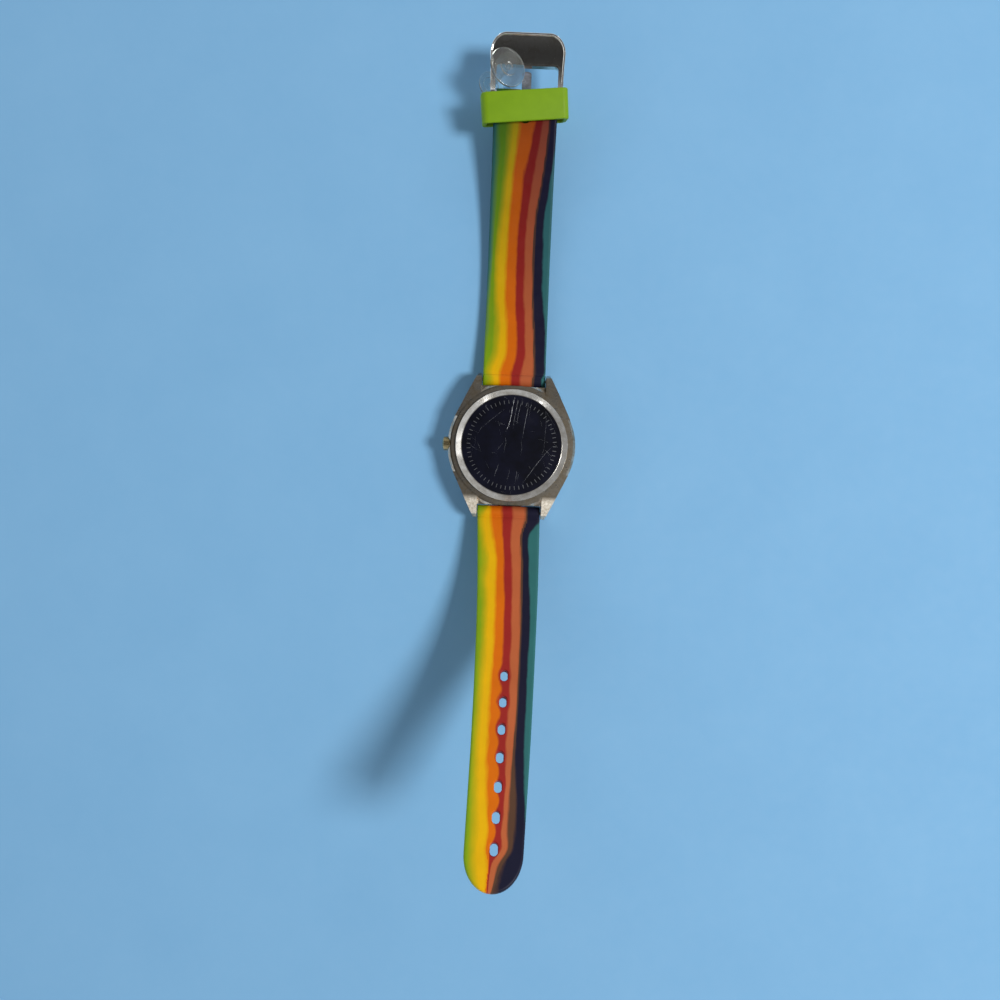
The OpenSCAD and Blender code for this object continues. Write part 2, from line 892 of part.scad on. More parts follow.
module fifth_wheel() {
    color("gold") {
        arbor(fifth_place, z_train + layer_gap, z_bridge - layer_gap);
        gear_at(fifth_place, z_fifth_wheel, fifth_teeth, rotor_size, wheel_t,
            rotor_angle + 180 / fifth_teeth);
        gear_at(fifth_place, z_fourth_wheel, fifth_pinion_teeth, fifth_size, pinion_t,
            rotor_angle + 180);
    }
}

module fourth_wheel() {
    color("gold") {
        gear_at([0, 0], z_fourth_wheel, fourth_teeth, fifth_size, wheel_t,
            rotor_angle + 180 / fourth_teeth);
        gear_at([0, 0], z_third_wheel, fourth_pinion_teeth, third_size, pinion_t, third_angle);
        translate([0, 0, z_second])
            cylinder(r = seconds_arbor_r, h = z_bridge + pivot_len - z_second);
    }
}

module third_wheel() {
    color("gold") {
        arbor(third_place, z_train + layer_gap, z_bridge - layer_gap);
        gear_at(third_place, z_third_wheel, third_teeth, third_size, wheel_t,
            third_angle + 180 + 180 / third_teeth);
        gear_at(third_place, z_centre_wheel, third_pinion_teeth, centre_size, pinion_t,
            third_angle + 180);
    }
}

module centre_wheel() {
    color("gold")
        difference() {
            union() {
                gear_at([0, 0], z_centre_wheel, centre_teeth, centre_size, wheel_t,
                    third_angle + 180 / centre_teeth);
                translate([0, 0, z_minute])
                    cylinder(r = cannon_r, h = z_centre_wheel + wheel_t - z_minute);
            }
            cylinder(r = cannon_bore_r, h = z_back);
        }
}

module cannon_pinion() {
    color("gold")
        difference() {
            gear_at([0, 0], z_motion_minute, cannon_teeth, setting_size, wheel_t, 180);
            cylinder(r = cannon_r, h = z_back);
        }
}

module minute_wheel() {
    color("gold") {
        gear_at([-minute_dist, 0], z_motion_minute, minute_teeth, setting_size, wheel_t,
            180 / minute_teeth);
        gear_at([-minute_dist, 0], z_motion_hour, minute_pinion_teeth, hour_size, wheel_t + motion_gap, 0);
        translate([-minute_dist, 0, z_motion_hour])
            cylinder(r = arbor_r, h = motion_depth + pivot_len);
    }
}

module hour_wheel() {
    color("gold")
        difference() {
            union() {
                gear_at([0, 0], z_motion_hour, hour_teeth, hour_size, wheel_t,
                    180 + 180 / hour_teeth);
                translate([0, 0, z_hour])
                    cylinder(r = hour_tube_r, h = z_motion_hour - z_hour);
            }
            cylinder(r = hour_bore_r, h = z_back);
        }
}

module setting_wheel() {
    color("gold") {
        gear_at([-setting_x, 0], z_motion_minute, setting_teeth, setting_size, wheel_t, 0);
        translate([-setting_x, 0, z_motion_minute])
            cylinder(r = arbor_r, h = wheel_t + motion_gap + pivot_len);
    }
}

// Movement: holder, plates, battery and electric parts
battery_place = polar(battery_dist, battery_angle);
pillars = [
    polar(pillar_dist_1, pillar_angle_1),
    polar(pillar_dist_2, pillar_angle_2),
    polar(pillar_dist_3, pillar_angle_3)
];
clip_screw = [clip_foot / 2 + clip_t + battery_clear + battery_r, z_train + clip_t];
coil_dist = fifth_dist + rotor_dist + magnet_r + stator_clear + coil_gap + winding_r + core_w / 2;
z_core = z_train + stator_lift + stator_t;

module at_place(place) {
    translate([place[0], place[1], 0])
        children();
}

// The frame of the battery: its own centre, with X pointing away from the middle
module at_battery() {
    rotate(battery_angle)
        translate([battery_dist, 0, 0])
            children();
}

module movement_holder() {
    color("ivory")
        difference() {
            ring(holder_r, movement_r + holder_clear, z_plate, z_back_in);
            translate([0, 0, crown_z])
                rod_x(stem_r + 2 * running_fit, -bore_r, 0);
        }
}

module main_plate() {
    pivot_bore = pivot_r + running_fit / 2;
    color("silver")
        difference() {
            translate([0, 0, z_plate])
                cylinder(r = movement_r, h = plate_t);
            at_place(battery_place)
                translate([0, 0, z_battery])
                    cylinder(r = battery_r + battery_clear / 2, h = plate_t);
            translate([0, 0, z_plate - overrun]) {
                recess = overrun + motion_depth;
                cylinder(r = tip_radius(hour_teeth, hour_size) + recess_clear, h = recess);
                cylinder(r = cannon_r + running_fit, h = plate_t + 2 * overrun);
                translate([-minute_dist, 0, 0]) {
                    cylinder(r = tip_radius(minute_teeth, setting_size) + recess_clear, h = recess);
                    cylinder(r = arbor_r + running_fit, h = recess + pivot_len + motion_gap);
                }
                translate([-setting_x, 0, 0]) {
                    cylinder(r = tip_radius(setting_teeth, setting_size) + recess_clear, h = recess);
                    cylinder(r = arbor_r + running_fit, h = recess + pivot_len + motion_gap);
                }
            }
            for (place = [fifth_place, rotor_place, third_place])
                at_place(place)
                    translate([0, 0, z_train - pivot_len])
                        cylinder(r = pivot_bore, h = plate_t);
            for (place = pillars)
                at_place(place)
                    translate([0, 0, z_train - screw_depth])
                        cylinder(r = screw_r, h = plate_t);
            at_battery()
                translate([0, clip_screw[0], z_train - screw_depth])
                    cylinder(r = screw_r, h = plate_t);
            translate([-lever_x, lever_arm, z_plate + plate_t / 2 - running_fit])
                cylinder(r = lever_pin_r + running_fit, h = plate_t);
            translate([0, 0, crown_z]) {
                rod_x(stem_r + running_fit, -movement_r - overrun, -clutch_x);
                rod_x(clutch_r + clutch_slot_clear, -lever_x + stem_groove_w, -clutch_x + clutch_gap);
                rod_x(square_bore_r, -clutch_x, -clutch_x + crown_pull + running_fit);
            }
        }
}

module train_bridge() {
    color("silver")
        difference() {
            union() {
                translate([0, 0, z_bridge])
                    linear_extrude(bridge_t)
                        hull()
                            for (place = concat(pillars, [third_place, rotor_place]))
                                at_place(place)
                                    circle(r = bridge_rim, $fn = 32);
                for (place = pillars)
                    at_place(place)
                        translate([0, 0, z_train])
                            cylinder(r = pillar_r, h = z_bridge + bridge_t - z_train);
            }
            at_place(battery_place)
                cylinder(r = battery_r + battery_clear, h = z_back);
            for (place = pillars)
                at_place(place)
                    cylinder(r = screw_r, h = z_back);
            for (place = [fifth_place, rotor_place, third_place])
                at_place(place)
                    cylinder(r = pivot_r + running_fit / 2, h = z_back);
            cylinder(r = seconds_arbor_r + running_fit / 2, h = z_back);
        }
}

// A slotted screw with its head's seat at z = 0
module screw(len) {
    difference() {
        union() {
            cylinder(r = screw_head_r, h = screw_head_t);
            translate([0, 0, -len])
                cylinder(r = screw_r, h = len);
        }
        translate([-screw_head_r, -screw_slot_w / 2, screw_head_t - screw_slot_depth])
            cube([2 * screw_head_r, screw_slot_w, screw_slot_depth + overrun]);
    }
}

module bridge_screws() {
    color("steelblue") {
        for (place = pillars)
            at_place(place)
                translate([0, 0, z_bridge + bridge_t])
                    screw(z_bridge + bridge_t - z_train + screw_depth);
        at_battery()
            translate([0, clip_screw[0], clip_screw[1]])
                screw(clip_t + screw_depth);
    }
}

module battery() {
    color("silver")
        at_place(battery_place)
            translate([0, 0, z_battery])
                rotate_extrude()
                    polygon([
                        [0, 0],
                        [battery_r - 2 * battery_edge, 0],
                        [battery_r - battery_edge, battery_edge],
                        [battery_r, 2 * battery_edge],
                        [battery_r, battery_t - battery_edge],
                        [battery_r - battery_edge, battery_t],
                        [0, battery_t]
                    ]);
}

module battery_clip() {
    leg = battery_r + battery_clear;
    color("goldenrod")
        at_battery()
            translate([-clip_w / 2, 0, 0])
                difference() {
                    union() {
                        translate([0, -battery_r * clip_reach_share, z_battery_top])
                            cube([clip_w, battery_r * clip_reach_share + leg + clip_t, clip_t]);
                        translate([0, leg, z_train])
                            cube([clip_w, clip_t, z_battery_top + clip_t - z_train]);
                        translate([0, leg, z_train])
                            cube([clip_w, clip_foot + clip_t, clip_t]);
                    }
                    translate([clip_w / 2, clip_screw[0], 0])
                        cylinder(r = screw_r, h = z_back);
                }
}

module circuit_board() {
    board_in = third_dist + tip_radius(third_teeth, third_size) + board_in_gap;
    color("darkgreen")
        translate([0, 0, z_train])
            rotate_extrude(angle = board_end - board_start, start = board_start)
                translate([board_in, 0])
                    square([movement_r - board_rim - board_in, board_t]);
}

module quartz_can() {
    middle = (movement_r + third_dist + tip_radius(third_teeth, third_size)) / 2;
    color("silver")
        at_place(polar(middle, can_angle))
            translate([0, 0, z_train + board_t + can_r])
                rotate([0, 0, can_angle + 90])
                    rod_x(can_r, -can_len / 2, can_len / 2);
}

module chip() {
    middle = (movement_r + third_dist + tip_radius(third_teeth, third_size)) / 2;
    color("black")
        at_place(polar(middle, chip_angle))
            rotate(chip_angle)
                translate([-chip_w / 2, -chip_w / 2, z_train + board_t])
                    cube([chip_w, chip_w, chip_h]);
}

// The frame of the coil and stator: X runs from the middle through the rotor
module coil_core() {
    color("gray")
        rotate(rotor_angle)
            translate([coil_dist - core_w / 2, -core_len / 2, z_core])
                cube([core_w, core_len, core_t]);
}

module coil_winding() {
    color("chocolate")
        rotate(rotor_angle)
            translate([coil_dist, 0, z_core + core_t / 2])
                rotate([0, 0, 90])
                    difference() {
                        rod_x(winding_r, -winding_len / 2, winding_len / 2);
                        translate([-winding_len, -core_w / 2, -core_t / 2])
                            cube([2 * winding_len, core_w, core_t]);
                    }
}

module stator() {
    place = fifth_dist + rotor_dist;
    color("gray")
        rotate(rotor_angle)
            translate([0, 0, z_train + stator_lift])
                difference() {
                    union() {
                        translate([place - stator_bar / 2, -core_len / 2, 0])
                            cube([stator_bar, core_len, stator_t]);
                        for (side = [0, 1])
                            mirror([0, side, 0])
                                translate([place, core_len / 2 - stator_leg, 0])
                                    cube([coil_dist + core_w / 2 - place, stator_leg, stator_t]);
                        translate([place, 0, 0])
                            cylinder(r = magnet_r + 2 * stator_clear + pressed_fit, h = stator_t);
                    }
                    translate([place, 0, -overrun])
                        cylinder(r = magnet_r + stator_clear, h = stator_t + 2 * overrun);
                }
}

// Straps: the outer face lies underneath, and the face that meets the wrist is on top
module strap_profile(r, w) {
    translate([r, 0])
        polygon(rounded_points(strap_t, w, strap_edge, 4));
}

// A round boss across the end of a strap, and the shallow crease beside it
module end_boss(w, r) {
    rod_x(r, -w / 2, w / 2);
}

module buckle_strap() {
    neck = degrees(crease_at / buckle_strap_r);
    color("orange")
        difference() {
            union() {
                band(buckle_arc, -buckle_start, buckle_turn)
                    strap_profile(buckle_strap_r, strap_w);
                translate([0, bar_y, bar_z])
                    end_boss(strap_w, boss_r);
                at_slope(pin, buckle_turn)
                    end_boss(strap_end_w, pin_boss_r);
            }
            translate([0, bar_y, bar_z])
                rod_x(barrel_r + running_fit, -strap_w, strap_w);
            band(buckle_arc, neck - buckle_start, neck + degrees(crease_w / buckle_strap_r) - buckle_start)
                translate([buckle_strap_r - strap_t / 2 - overrun, -strap_w])
                    square([crease_depth + overrun, 2 * strap_w]);
            at_slope(pin, buckle_turn) {
                slot = tongue_w + 2 * tongue_slot_clear;
                rod_x(pin_bore_r, -strap_w, strap_w);
                translate([-slot / 2, -tongue_slot_len, -strap_t])
                    cube([slot, tongue_slot_len + strap_t, 2 * strap_t]);
                translate([0, -tongue_slot_len, -strap_t])
                    cylinder(d = slot, h = 2 * strap_t);
                for (side = [0, 1])
                    mirror([side, 0, 0])
                        translate([strap_end_w / 2, -strap_end_len, -strap_t])
                            cube([strap_w, strap_end_len + strap_t, 2 * strap_t]);
            }
        }
}

// The hole strap's outline in its tilted plane: a taper and a rounded tip
function hole_strap_outline() = let (
    end = cut_reach(hole_strap_len),
    shoulder = end - tip_len,
    right = concat(
        [[strap_w / 2, -2 * boss_r], [strap_w / 2, boss_r]],
        [for (i = [0 : 12]) [cos(i * 7.5) * tip_w / 2, shoulder + sin(i * 7.5) * tip_len]]
    )
) concat(right, [for (i = [len(right) - 1 : -1 : 0]) [-right[i][0], right[i][1]]]);

module strap_hole(s) {
    side = (hole_len - hole_w) / 2;
    at_slope(hole_strap_point(s), hole_strap_angle(s))
        translate([0, 0, -strap_t]) {
            for (along = [-side, side])
                translate([0, along, 0])
                    cylinder(r = hole_w / 2, h = 2 * strap_t);
            translate([-hole_w / 2, -side, 0])
                cube([hole_w, 2 * side, 2 * strap_t]);
        }
}

module hole_strap() {
    neck = degrees(crease_at / hole_strap_r);
    color("orange")
        mirror([0, 1, 0])
            difference() {
                intersection() {
                    union() {
                        band(hole_arc, hole_start, hole_turn + degrees(arc_overlap / hole_strap_r))
                            strap_profile(hole_strap_r, strap_w);
                        band(tip_arc, hole_turn, tip_turn)
                            strap_profile(tip_strap_r, strap_w);
                        translate([0, bar_y, bar_z])
                            end_boss(strap_w, boss_r);
                    }
                    at_slope([bar_y, bar_z], cut_tilt)
                        translate([0, 0, -hole_strap_len])
                            linear_extrude(2 * hole_strap_len)
                                polygon(hole_strap_outline());
                }
                translate([0, bar_y, bar_z])
                    rod_x(barrel_r + running_fit, -strap_w, strap_w);
                band(hole_arc, neck + hole_start, neck + degrees(crease_w / hole_strap_r) + hole_start)
                    translate([hole_strap_r - strap_t / 2 - overrun, -strap_w])
                        square([crease_depth + overrun, 2 * strap_w]);
                for (i = [0 : hole_count - 1])
                    strap_hole(hole_strap_len - hole_tail - i * hole_pitch);
            }
}

module keeper() {
    top = strap_t / 2 + keeper_clear + keeper_wall;
    color("yellowgreen")
        translate([0, buckle_arc[0], buckle_arc[1]])
            rotate([keeper_turn, 0, 0])
                translate([-keeper_shift, 0, top - keeper_h / 2 - buckle_strap_r])
                    rotate([0, keeper_roll, keeper_skew])
                        rotate([90, 0, 0])
                            linear_extrude(keeper_len, center = true)
                                difference() {
                                    polygon(rounded_points(keeper_w, keeper_h, keeper_round));
                                    polygon(rounded_points(
                                        keeper_w - 2 * keeper_wall, keeper_room, keeper_inner_round));
                                }
}

// Spring bars: a barrel with two sprung tips
module at_bar(side) {
    translate([0, side * bar_y, bar_z])
        children();
}

module barrel() {
    difference() {
        rod_x(barrel_r, -barrel_len / 2, barrel_len / 2);
        rod_x(barrel_bore_r, barrel_lip - barrel_len / 2, barrel_len / 2 - barrel_lip);
        rod_x(tip_r + running_fit / 2, -barrel_len, barrel_len);
    }
}

// A tip on the +X side: its head is held behind the barrel's lip
module bar_tip() {
    head_end = barrel_len / 2 - barrel_lip - pressed_fit;
    rod_x(tip_r, head_end - tip_head_len / 2, lug_in + tip_reach - running_fit);
    rod_x(tip_head_r, head_end - tip_head_len, head_end);
}

module bar_spring() {
    room = barrel_len - 2 * (barrel_lip + pressed_fit + tip_head_len + spring_gap);
    pitch = (room - 2 * spring_wire_r) / spring_turns;
    rings = spring_turns * turn_rings;
    last = rings * wire_sides;
    points = [for (i = [0 : rings]) each spring_ring(i, pitch)];
    sides = [
        for (i = [0 : rings - 1], k = [0 : wire_sides - 1])
            let (
                a = i * wire_sides + k,
                b = i * wire_sides + (k + 1) % wire_sides
            ) each [[a, b, b + wire_sides], [a, b + wire_sides, a + wire_sides]]
    ];
    ends = [for (k = [1 : wire_sides - 2]) each [[0, k + 1, k], [last, last + k, last + k + 1]]];
    translate([spring_wire_r - room / 2, 0, 0])
        polyhedron(points, concat(sides, ends));
}

module spring_bar_12() { color("gray") at_bar(1) barrel(); }
module spring_12() { color("silver") at_bar(1) bar_spring(); }
module tip_12_right() { color("silver") at_bar(1) bar_tip(); }
module tip_12_left() { color("silver") at_bar(1) mirror([1, 0, 0]) bar_tip(); }
module spring_bar_6() { color("gray") at_bar(-1) barrel(); }
module spring_6() { color("silver") at_bar(-1) bar_spring(); }
module tip_6_right() { color("silver") at_bar(-1) bar_tip(); }
module tip_6_left() { color("silver") at_bar(-1) mirror([1, 0, 0]) bar_tip(); }

// Buckle
// The buckle's outline, its window or the field inside its rim: it flares to the far end
function flared_points(near_w, far_w, near_y, far_y, r) = let (
    right = concat(
        [[near_w / 2, near_y]],
        [for (i = [0 : corner_steps]) [far_w / 2 - r, far_y - r] + polar(r, i * 90 / corner_steps)]
    )
) concat(right, [for (i = [len(right) - 1 : -1 : 0]) [-right[i][0], right[i][1]]]);

// The sunk field on the side that meets the wrist, between a rim round the edge and one
// round the window
module frame_field(window_y, end_y) {
    near_y = pin[0] + ear_r;
    intersection() {
        band(frame_arc, -frame_start, frame_end)
            translate([frame_r - frame_t / 2 - overrun, -plate_w])
                square([field_depth + overrun, 2 * plate_w]);
        linear_extrude(2 * frame_r)
            difference() {
                polygon(flared_points(
                    frame_w - 2 * rim_w, plate_w - 2 * rim_w, near_y, end_y - rim_w,
                    frame_corner - rim_w));
                polygon(flared_points(
                    frame_in_w + 2 * rim_w, frame_in_w + 2 * rim_w, pin[0], window_y + rim_w,
                    window_corner + rim_w));
            }
    }
}

module buckle_frame() {
    window_y = pin[0] + window_len;
    end_y = window_y + plate_len;
    color("silver")
        difference() {
            union() {
                intersection() {
                    band(frame_arc, -frame_start, frame_end)
                        translate([frame_r - frame_t / 2, -plate_w / 2])
                            square([frame_t, plate_w]);
                    linear_extrude(2 * frame_r)
                        polygon(flared_points(
                            frame_w, plate_w, pin[0] - ear_r, end_y, frame_corner));
                }
                for (side = [-1, 1])
                    translate([side * (frame_w - arm_w) / 2, pin[0], pin[1]])
                        rod_x(ear_r, -arm_w / 2, arm_w / 2);
            }
            linear_extrude(2 * frame_r)
                polygon(flared_points(
                    frame_in_w, frame_in_w, pin[0] - 2 * ear_r, window_y, window_corner));
            frame_field(window_y, end_y);
            translate([0, pin[0], pin[1]])
                rod_x(pin_r + pressed_fit, -frame_w, frame_w);
        }
}

module buckle_bar() {
    color("gray")
        translate([0, pin[0], pin[1]])
            rod_x(pin_r, -frame_w / 2 + running_fit, frame_w / 2 - running_fit);
}

module buckle_tongue() {
    color("silver")
        at_slope(pin, -tongue_drop)
            difference() {
                union() {
                    rod_x(pin_boss_r, -tongue_w / 2, tongue_w / 2);
                    translate([-tongue_w / 2, 0, -tongue_t / 2])
                        cube([tongue_w, tongue_len - tongue_w / 2, tongue_t]);
                    translate([0, tongue_len - tongue_w / 2, -tongue_t / 2])
                        cylinder(r = tongue_w / 2, h = tongue_t);
                }
                rod_x(pin_bore_r, -tongue_w, tongue_w);
            }
}

// Clear tag button: two discs on a post beside the frame's left arm
module at_tag() {
    translate([tag_x, tag_y, tag_z])
        rotate([0, tag_tilt, 0])
            children();
}

module tag_disc(r) {
    rotate_extrude()
        polygon([
            [0, -tag_t / 2],
            [r - tag_edge, -tag_t / 2],
            [r, 0],
            [r - tag_edge, tag_t / 2],
            [tag_hub_d / 2, tag_t / 2],
            [tag_hub_d / 2, tag_t / 2 + tag_hub_t],
            [0, tag_t / 2 + tag_hub_t]
        ]);
}

module tag_stud() {
    color("white", 0.4)
        at_tag() {
            translate([0, 0, -tag_gap / 2])
                mirror([0, 0, 1])
                    tag_disc(tag_foot_d / 2);
            translate([0, 0, -tag_gap / 2])
                cylinder(d = tag_post_d, h = tag_gap);
        }
}

module tag_cap() {
    color("white", 0.4)
        at_tag()
            translate([0, 0, tag_gap / 2])
                difference() {
                    tag_disc(tag_d / 2);
                    translate([0, 0, -tag_t])
                        cylinder(d = tag_post_d + 2 * pressed_fit, h = tag_t);
                    translate([0, 0, tag_t / 2])
                        cylinder(d = tag_hole_d, h = tag_t);
                }
}

case_body();
bezel();
crystal();
crystal_gasket();
caseback();
caseback_gasket();
crown();
crown_gasket();
crown_tube();
setting_stem();
clutch_wheel();
setting_lever();
dial();
hour_markers();
hour_hand();
minute_hand();
second_hand();
movement_holder();
main_plate();
train_bridge();
bridge_screws();
battery();
battery_clip();
circuit_board();
quartz_can();
chip();
coil_core();
coil_winding();
stator();
rotor();
fifth_wheel();
fourth_wheel();
third_wheel();
centre_wheel();
cannon_pinion();
minute_wheel();
hour_wheel();
setting_wheel();
buckle_strap();
hole_strap();
keeper();
spring_bar_12();
spring_12();
tip_12_left();
tip_12_right();
spring_bar_6();
spring_6();
tip_6_left();
tip_6_right();
buckle_frame();
buckle_bar();
buckle_tongue();
tag_stud();
tag_cap();
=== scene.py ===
"""Looks of the child's rainbow wristwatch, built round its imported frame."""

import json
import math
import random

import bmesh
import bpy
import numpy as np
from mathutils import Matrix, Vector


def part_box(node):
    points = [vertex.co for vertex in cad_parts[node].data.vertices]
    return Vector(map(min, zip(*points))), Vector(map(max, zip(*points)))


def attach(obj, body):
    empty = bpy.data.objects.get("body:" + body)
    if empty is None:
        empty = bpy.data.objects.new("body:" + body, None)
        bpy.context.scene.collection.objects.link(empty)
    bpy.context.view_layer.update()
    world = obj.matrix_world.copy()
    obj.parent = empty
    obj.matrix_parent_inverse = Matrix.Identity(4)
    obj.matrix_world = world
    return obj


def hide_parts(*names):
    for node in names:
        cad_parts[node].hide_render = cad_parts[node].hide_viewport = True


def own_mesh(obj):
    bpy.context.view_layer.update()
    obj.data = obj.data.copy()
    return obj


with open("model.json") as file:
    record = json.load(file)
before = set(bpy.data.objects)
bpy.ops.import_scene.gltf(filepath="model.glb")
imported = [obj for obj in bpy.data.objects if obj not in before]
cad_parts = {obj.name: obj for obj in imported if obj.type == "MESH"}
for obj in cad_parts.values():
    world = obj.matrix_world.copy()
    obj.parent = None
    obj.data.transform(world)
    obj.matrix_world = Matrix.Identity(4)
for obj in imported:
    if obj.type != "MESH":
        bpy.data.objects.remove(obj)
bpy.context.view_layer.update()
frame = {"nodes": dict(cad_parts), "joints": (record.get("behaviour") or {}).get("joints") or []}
MM = 0.001
TAU = 2 * math.pi
rng = random.Random(11)


# Camera and lights

PHOTO_SIZE = 1000
FOCAL_PX = 751
SENSOR_MM = 36
CAM_PLACE = Vector((-2.32, -13.86, 196.8))
CAM_ROLL = math.radians(2.4)

camera_data = bpy.data.cameras.new("camera")
camera_data.sensor_width = SENSOR_MM
camera_data.lens = FOCAL_PX / PHOTO_SIZE * SENSOR_MM
camera_data.clip_start = MM
camera = bpy.data.objects.new("camera", camera_data)
camera.location = CAM_PLACE * MM
camera.rotation_euler = (0, 0, CAM_ROLL)
bpy.context.scene.collection.objects.link(camera)
bpy.context.scene.camera = camera
bpy.context.scene.view_settings.view_transform = "Standard"


def seen_at(px, py, height):
    """The point, in mm, that the camera sees at a photo pixel, on the level of that height."""
    reach = (CAM_PLACE.z - height) / FOCAL_PX
    across = (px - PHOTO_SIZE / 2) * reach
    up = (PHOTO_SIZE / 2 - py) * reach
    c, s = math.cos(CAM_ROLL), math.sin(CAM_ROLL)
    return Vector((CAM_PLACE.x + across * c - up * s, CAM_PLACE.y + across * s + up * c, height))


def area_light(name, azimuth, elevation, distance, size, power, colour):
    """A soft rectangular lamp that looks at the object; azimuth 0 is at +X, 90 at +Y."""
    data = bpy.data.lights.new(name, "AREA")
    data.shape = "RECTANGLE"
    data.size, data.size_y = size
    data.energy = power
    data.color = colour
    lamp = bpy.data.objects.new(name, data)
    a, e = math.radians(azimuth), math.radians(elevation)
    back = Vector((math.cos(a) * math.cos(e), math.sin(a) * math.cos(e), math.sin(e)))
    lamp.location = back * distance
    lamp.rotation_mode = "QUATERNION"
    lamp.rotation_quaternion = (-back).to_track_quat("-Z", "Y")
    bpy.context.scene.collection.objects.link(lamp)


WARM = (1, 0.98, 0.95)
WHITE = (1, 1, 1)
# Name, azimuth and elevation in degrees, distance and size in metres, power in watts, and colour.
LAMPS = [
    ("key", -8, 51.5, 1.2, (0.3, 0.3), 11.5, WARM),
    ("left_strip", 176, 26, 0.8, (0.34, 0.12), 0.2, WHITE),
    ("top_left_strip", 118, 25, 0.8, (0.1, 0.1), 0.18, WHITE),
    ("top_right_strip", 58, 25, 0.8, (0.1, 0.1), 0.18, WHITE)]
for lamp_values in LAMPS:
    area_light(*lamp_values)


# Materials


def tint(code):
    """A colour code as the linear colour that Blender works in."""
    parts = [int(code[i:i + 2], 16) / 255 for i in (1, 3, 5)]
    return tuple(c / 12.92 if c <= 0.04045 else ((c + 0.055) / 1.055) ** 2.4 for c in parts)


class Finish:
    """One procedural material, with a short call for each kind of node."""

    def __init__(self, name, **values):
        self.material = bpy.data.materials.new(name)
        self.material.use_nodes = True
        self.tree = self.material.node_tree
        self.tree.nodes.clear()
        self.shader = self.tree.nodes.new("ShaderNodeBsdfPrincipled")
        out = self.tree.nodes.new("ShaderNodeOutputMaterial")
        self.tree.links.new(self.shader.outputs[0], out.inputs[0])
        self.coordinates = None
        for key, value in values.items():
            self.feed(self.shader.inputs[key.replace("_", " ").title().replace("Ior", "IOR")], value)

    def feed(self, socket, value):
        """Links a socket to this one, or sets its own value."""
        if isinstance(value, bpy.types.NodeSocket):
            self.tree.links.new(value, socket)
        elif socket.type == "RGBA" and len(value) == 3:
            socket.default_value = (*value, 1)
        else:
            socket.default_value = value

    def add(self, kind, inputs, output=0, **settings):
        """A node of this kind, with its inputs fed; gives one of its outputs."""
        node = self.tree.nodes.new("ShaderNode" + kind)
        for key, value in settings.items():
            setattr(node, key, value)
        for key, value in inputs.items():
            self.feed(node.inputs[key], value)
        return node.outputs[output]

    def place(self):
        """The rest place of a point, in metres, in the shared frame."""
        if self.coordinates is None:
            self.coordinates = self.add("TexCoord", {}, output="Object")
        return self.coordinates

    def axis(self, letter):
        return self.add("SeparateXYZ", {0: self.place()}, output=letter)

    def stretched(self, scale, turn=(0, 0, 0)):
        """The rest place, scaled and turned, for a texture that is drawn out one way."""
        return self.add("Mapping", {"Vector": self.place(), "Scale": scale, "Rotation": turn})

    def noise(self, scale, detail=3, rough=0.5, vector=None, distortion=0):
        return self.add("TexNoise", {
            "Vector": vector or self.place(), "Scale": scale, "Detail": detail,
            "Roughness": rough, "Distortion": distortion}, output="Fac")

    def ramp(self, factor, stops):
        """A colour ramp; stops are (place, linear colour)."""
        node = self.tree.nodes.new("ShaderNodeValToRGB")
        points = node.color_ramp.elements
        while len(points) < len(stops):
            points.new(1)
        for point, (at, colour) in zip(points, stops):
            point.position = at
            point.color = (*colour, 1)
        self.feed(node.inputs[0], factor)
        return node.outputs[0]

    def span(self, value, low, high, to_low=0.0, to_high=1.0):
        """A value's range moved to another range, held at its ends."""
        return self.add("MapRange", {0: value, 1: low, 2: high, 3: to_low, 4: to_high})

    def sum(self, a, b):
        return self.add("Math", {0: a, 1: b}, operation="ADD")

    def product(self, a, b):
        return self.add("Math", {0: a, 1: b}, operation="MULTIPLY")

    def mix(self, factor, a, b, way="MIX"):
        return self.add("Mix", {0: factor, 6: a, 7: b}, output=2, data_type="RGBA", blend_type=way)

    def bump(self, height, depth, strength=1.0):
        normal = self.add("Bump", {"Height": height, "Distance": depth, "Strength": strength})
        self.feed(self.shader.inputs["Normal"], normal)

    def colour(self, value):
        self.feed(self.shader.inputs["Base Color"], value)

    def roughness(self, value):
        self.feed(self.shader.inputs["Roughness"], value)


def metal_wear(f, patch=420):
    """The wear of a metal: stains in patches, fine grain and hairlines."""
    stains = f.noise(patch, 6, 0.62, distortion=0.4)
    fine = f.noise(5200, 3, 0.6)
    hair = f.noise(900, 4, 0.7, vector=f.stretched((0.4, 6, 6), (0, 0, 0.5)))
    return stains, fine, hair


def metal_roughness(f, stains, hair, rough):
    """Rougher where the metal is stained or has hairlines."""
    return f.span(f.sum(stains, f.product(hair, 0.4)), 0.45, 1.05, *rough)


def worn_metal(name, bright, dull, rough=(0.16, 0.4), patch=420, wear=(0.35, 0.7), depth=0.004):
    """Plated or ground metal, from bright to stained."""
    f = Finish(name, metallic=1.0)
    stains, fine, hair = metal_wear(f, patch)
    f.colour(f.ramp(stains, [(wear[0], tint(bright)), (wear[1], tint(dull))]))
    f.roughness(metal_roughness(f, stains, hair, rough))
    f.bump(f.sum(fine, hair), depth * MM, 0.6)
    return f.material


def moulded(name, colour, shade, rough=(0.4, 0.55), grain=3000, depth=0.004, sheen=0.5):
    """Moulded plastic, paint or soft rubber: a faint mottle, and a fine grain."""
    f = Finish(name, specular_ior_level=sheen)
    mottle = f.noise(260, 4, 0.55)
    f.colour(f.ramp(mottle, [(0.3, tint(colour)), (0.75, tint(shade))]))
    f.roughness(f.span(f.noise(900, 3), 0.3, 0.7, *rough))
    f.bump(f.noise(grain, 2), depth * MM, 0.5)
    return f.material


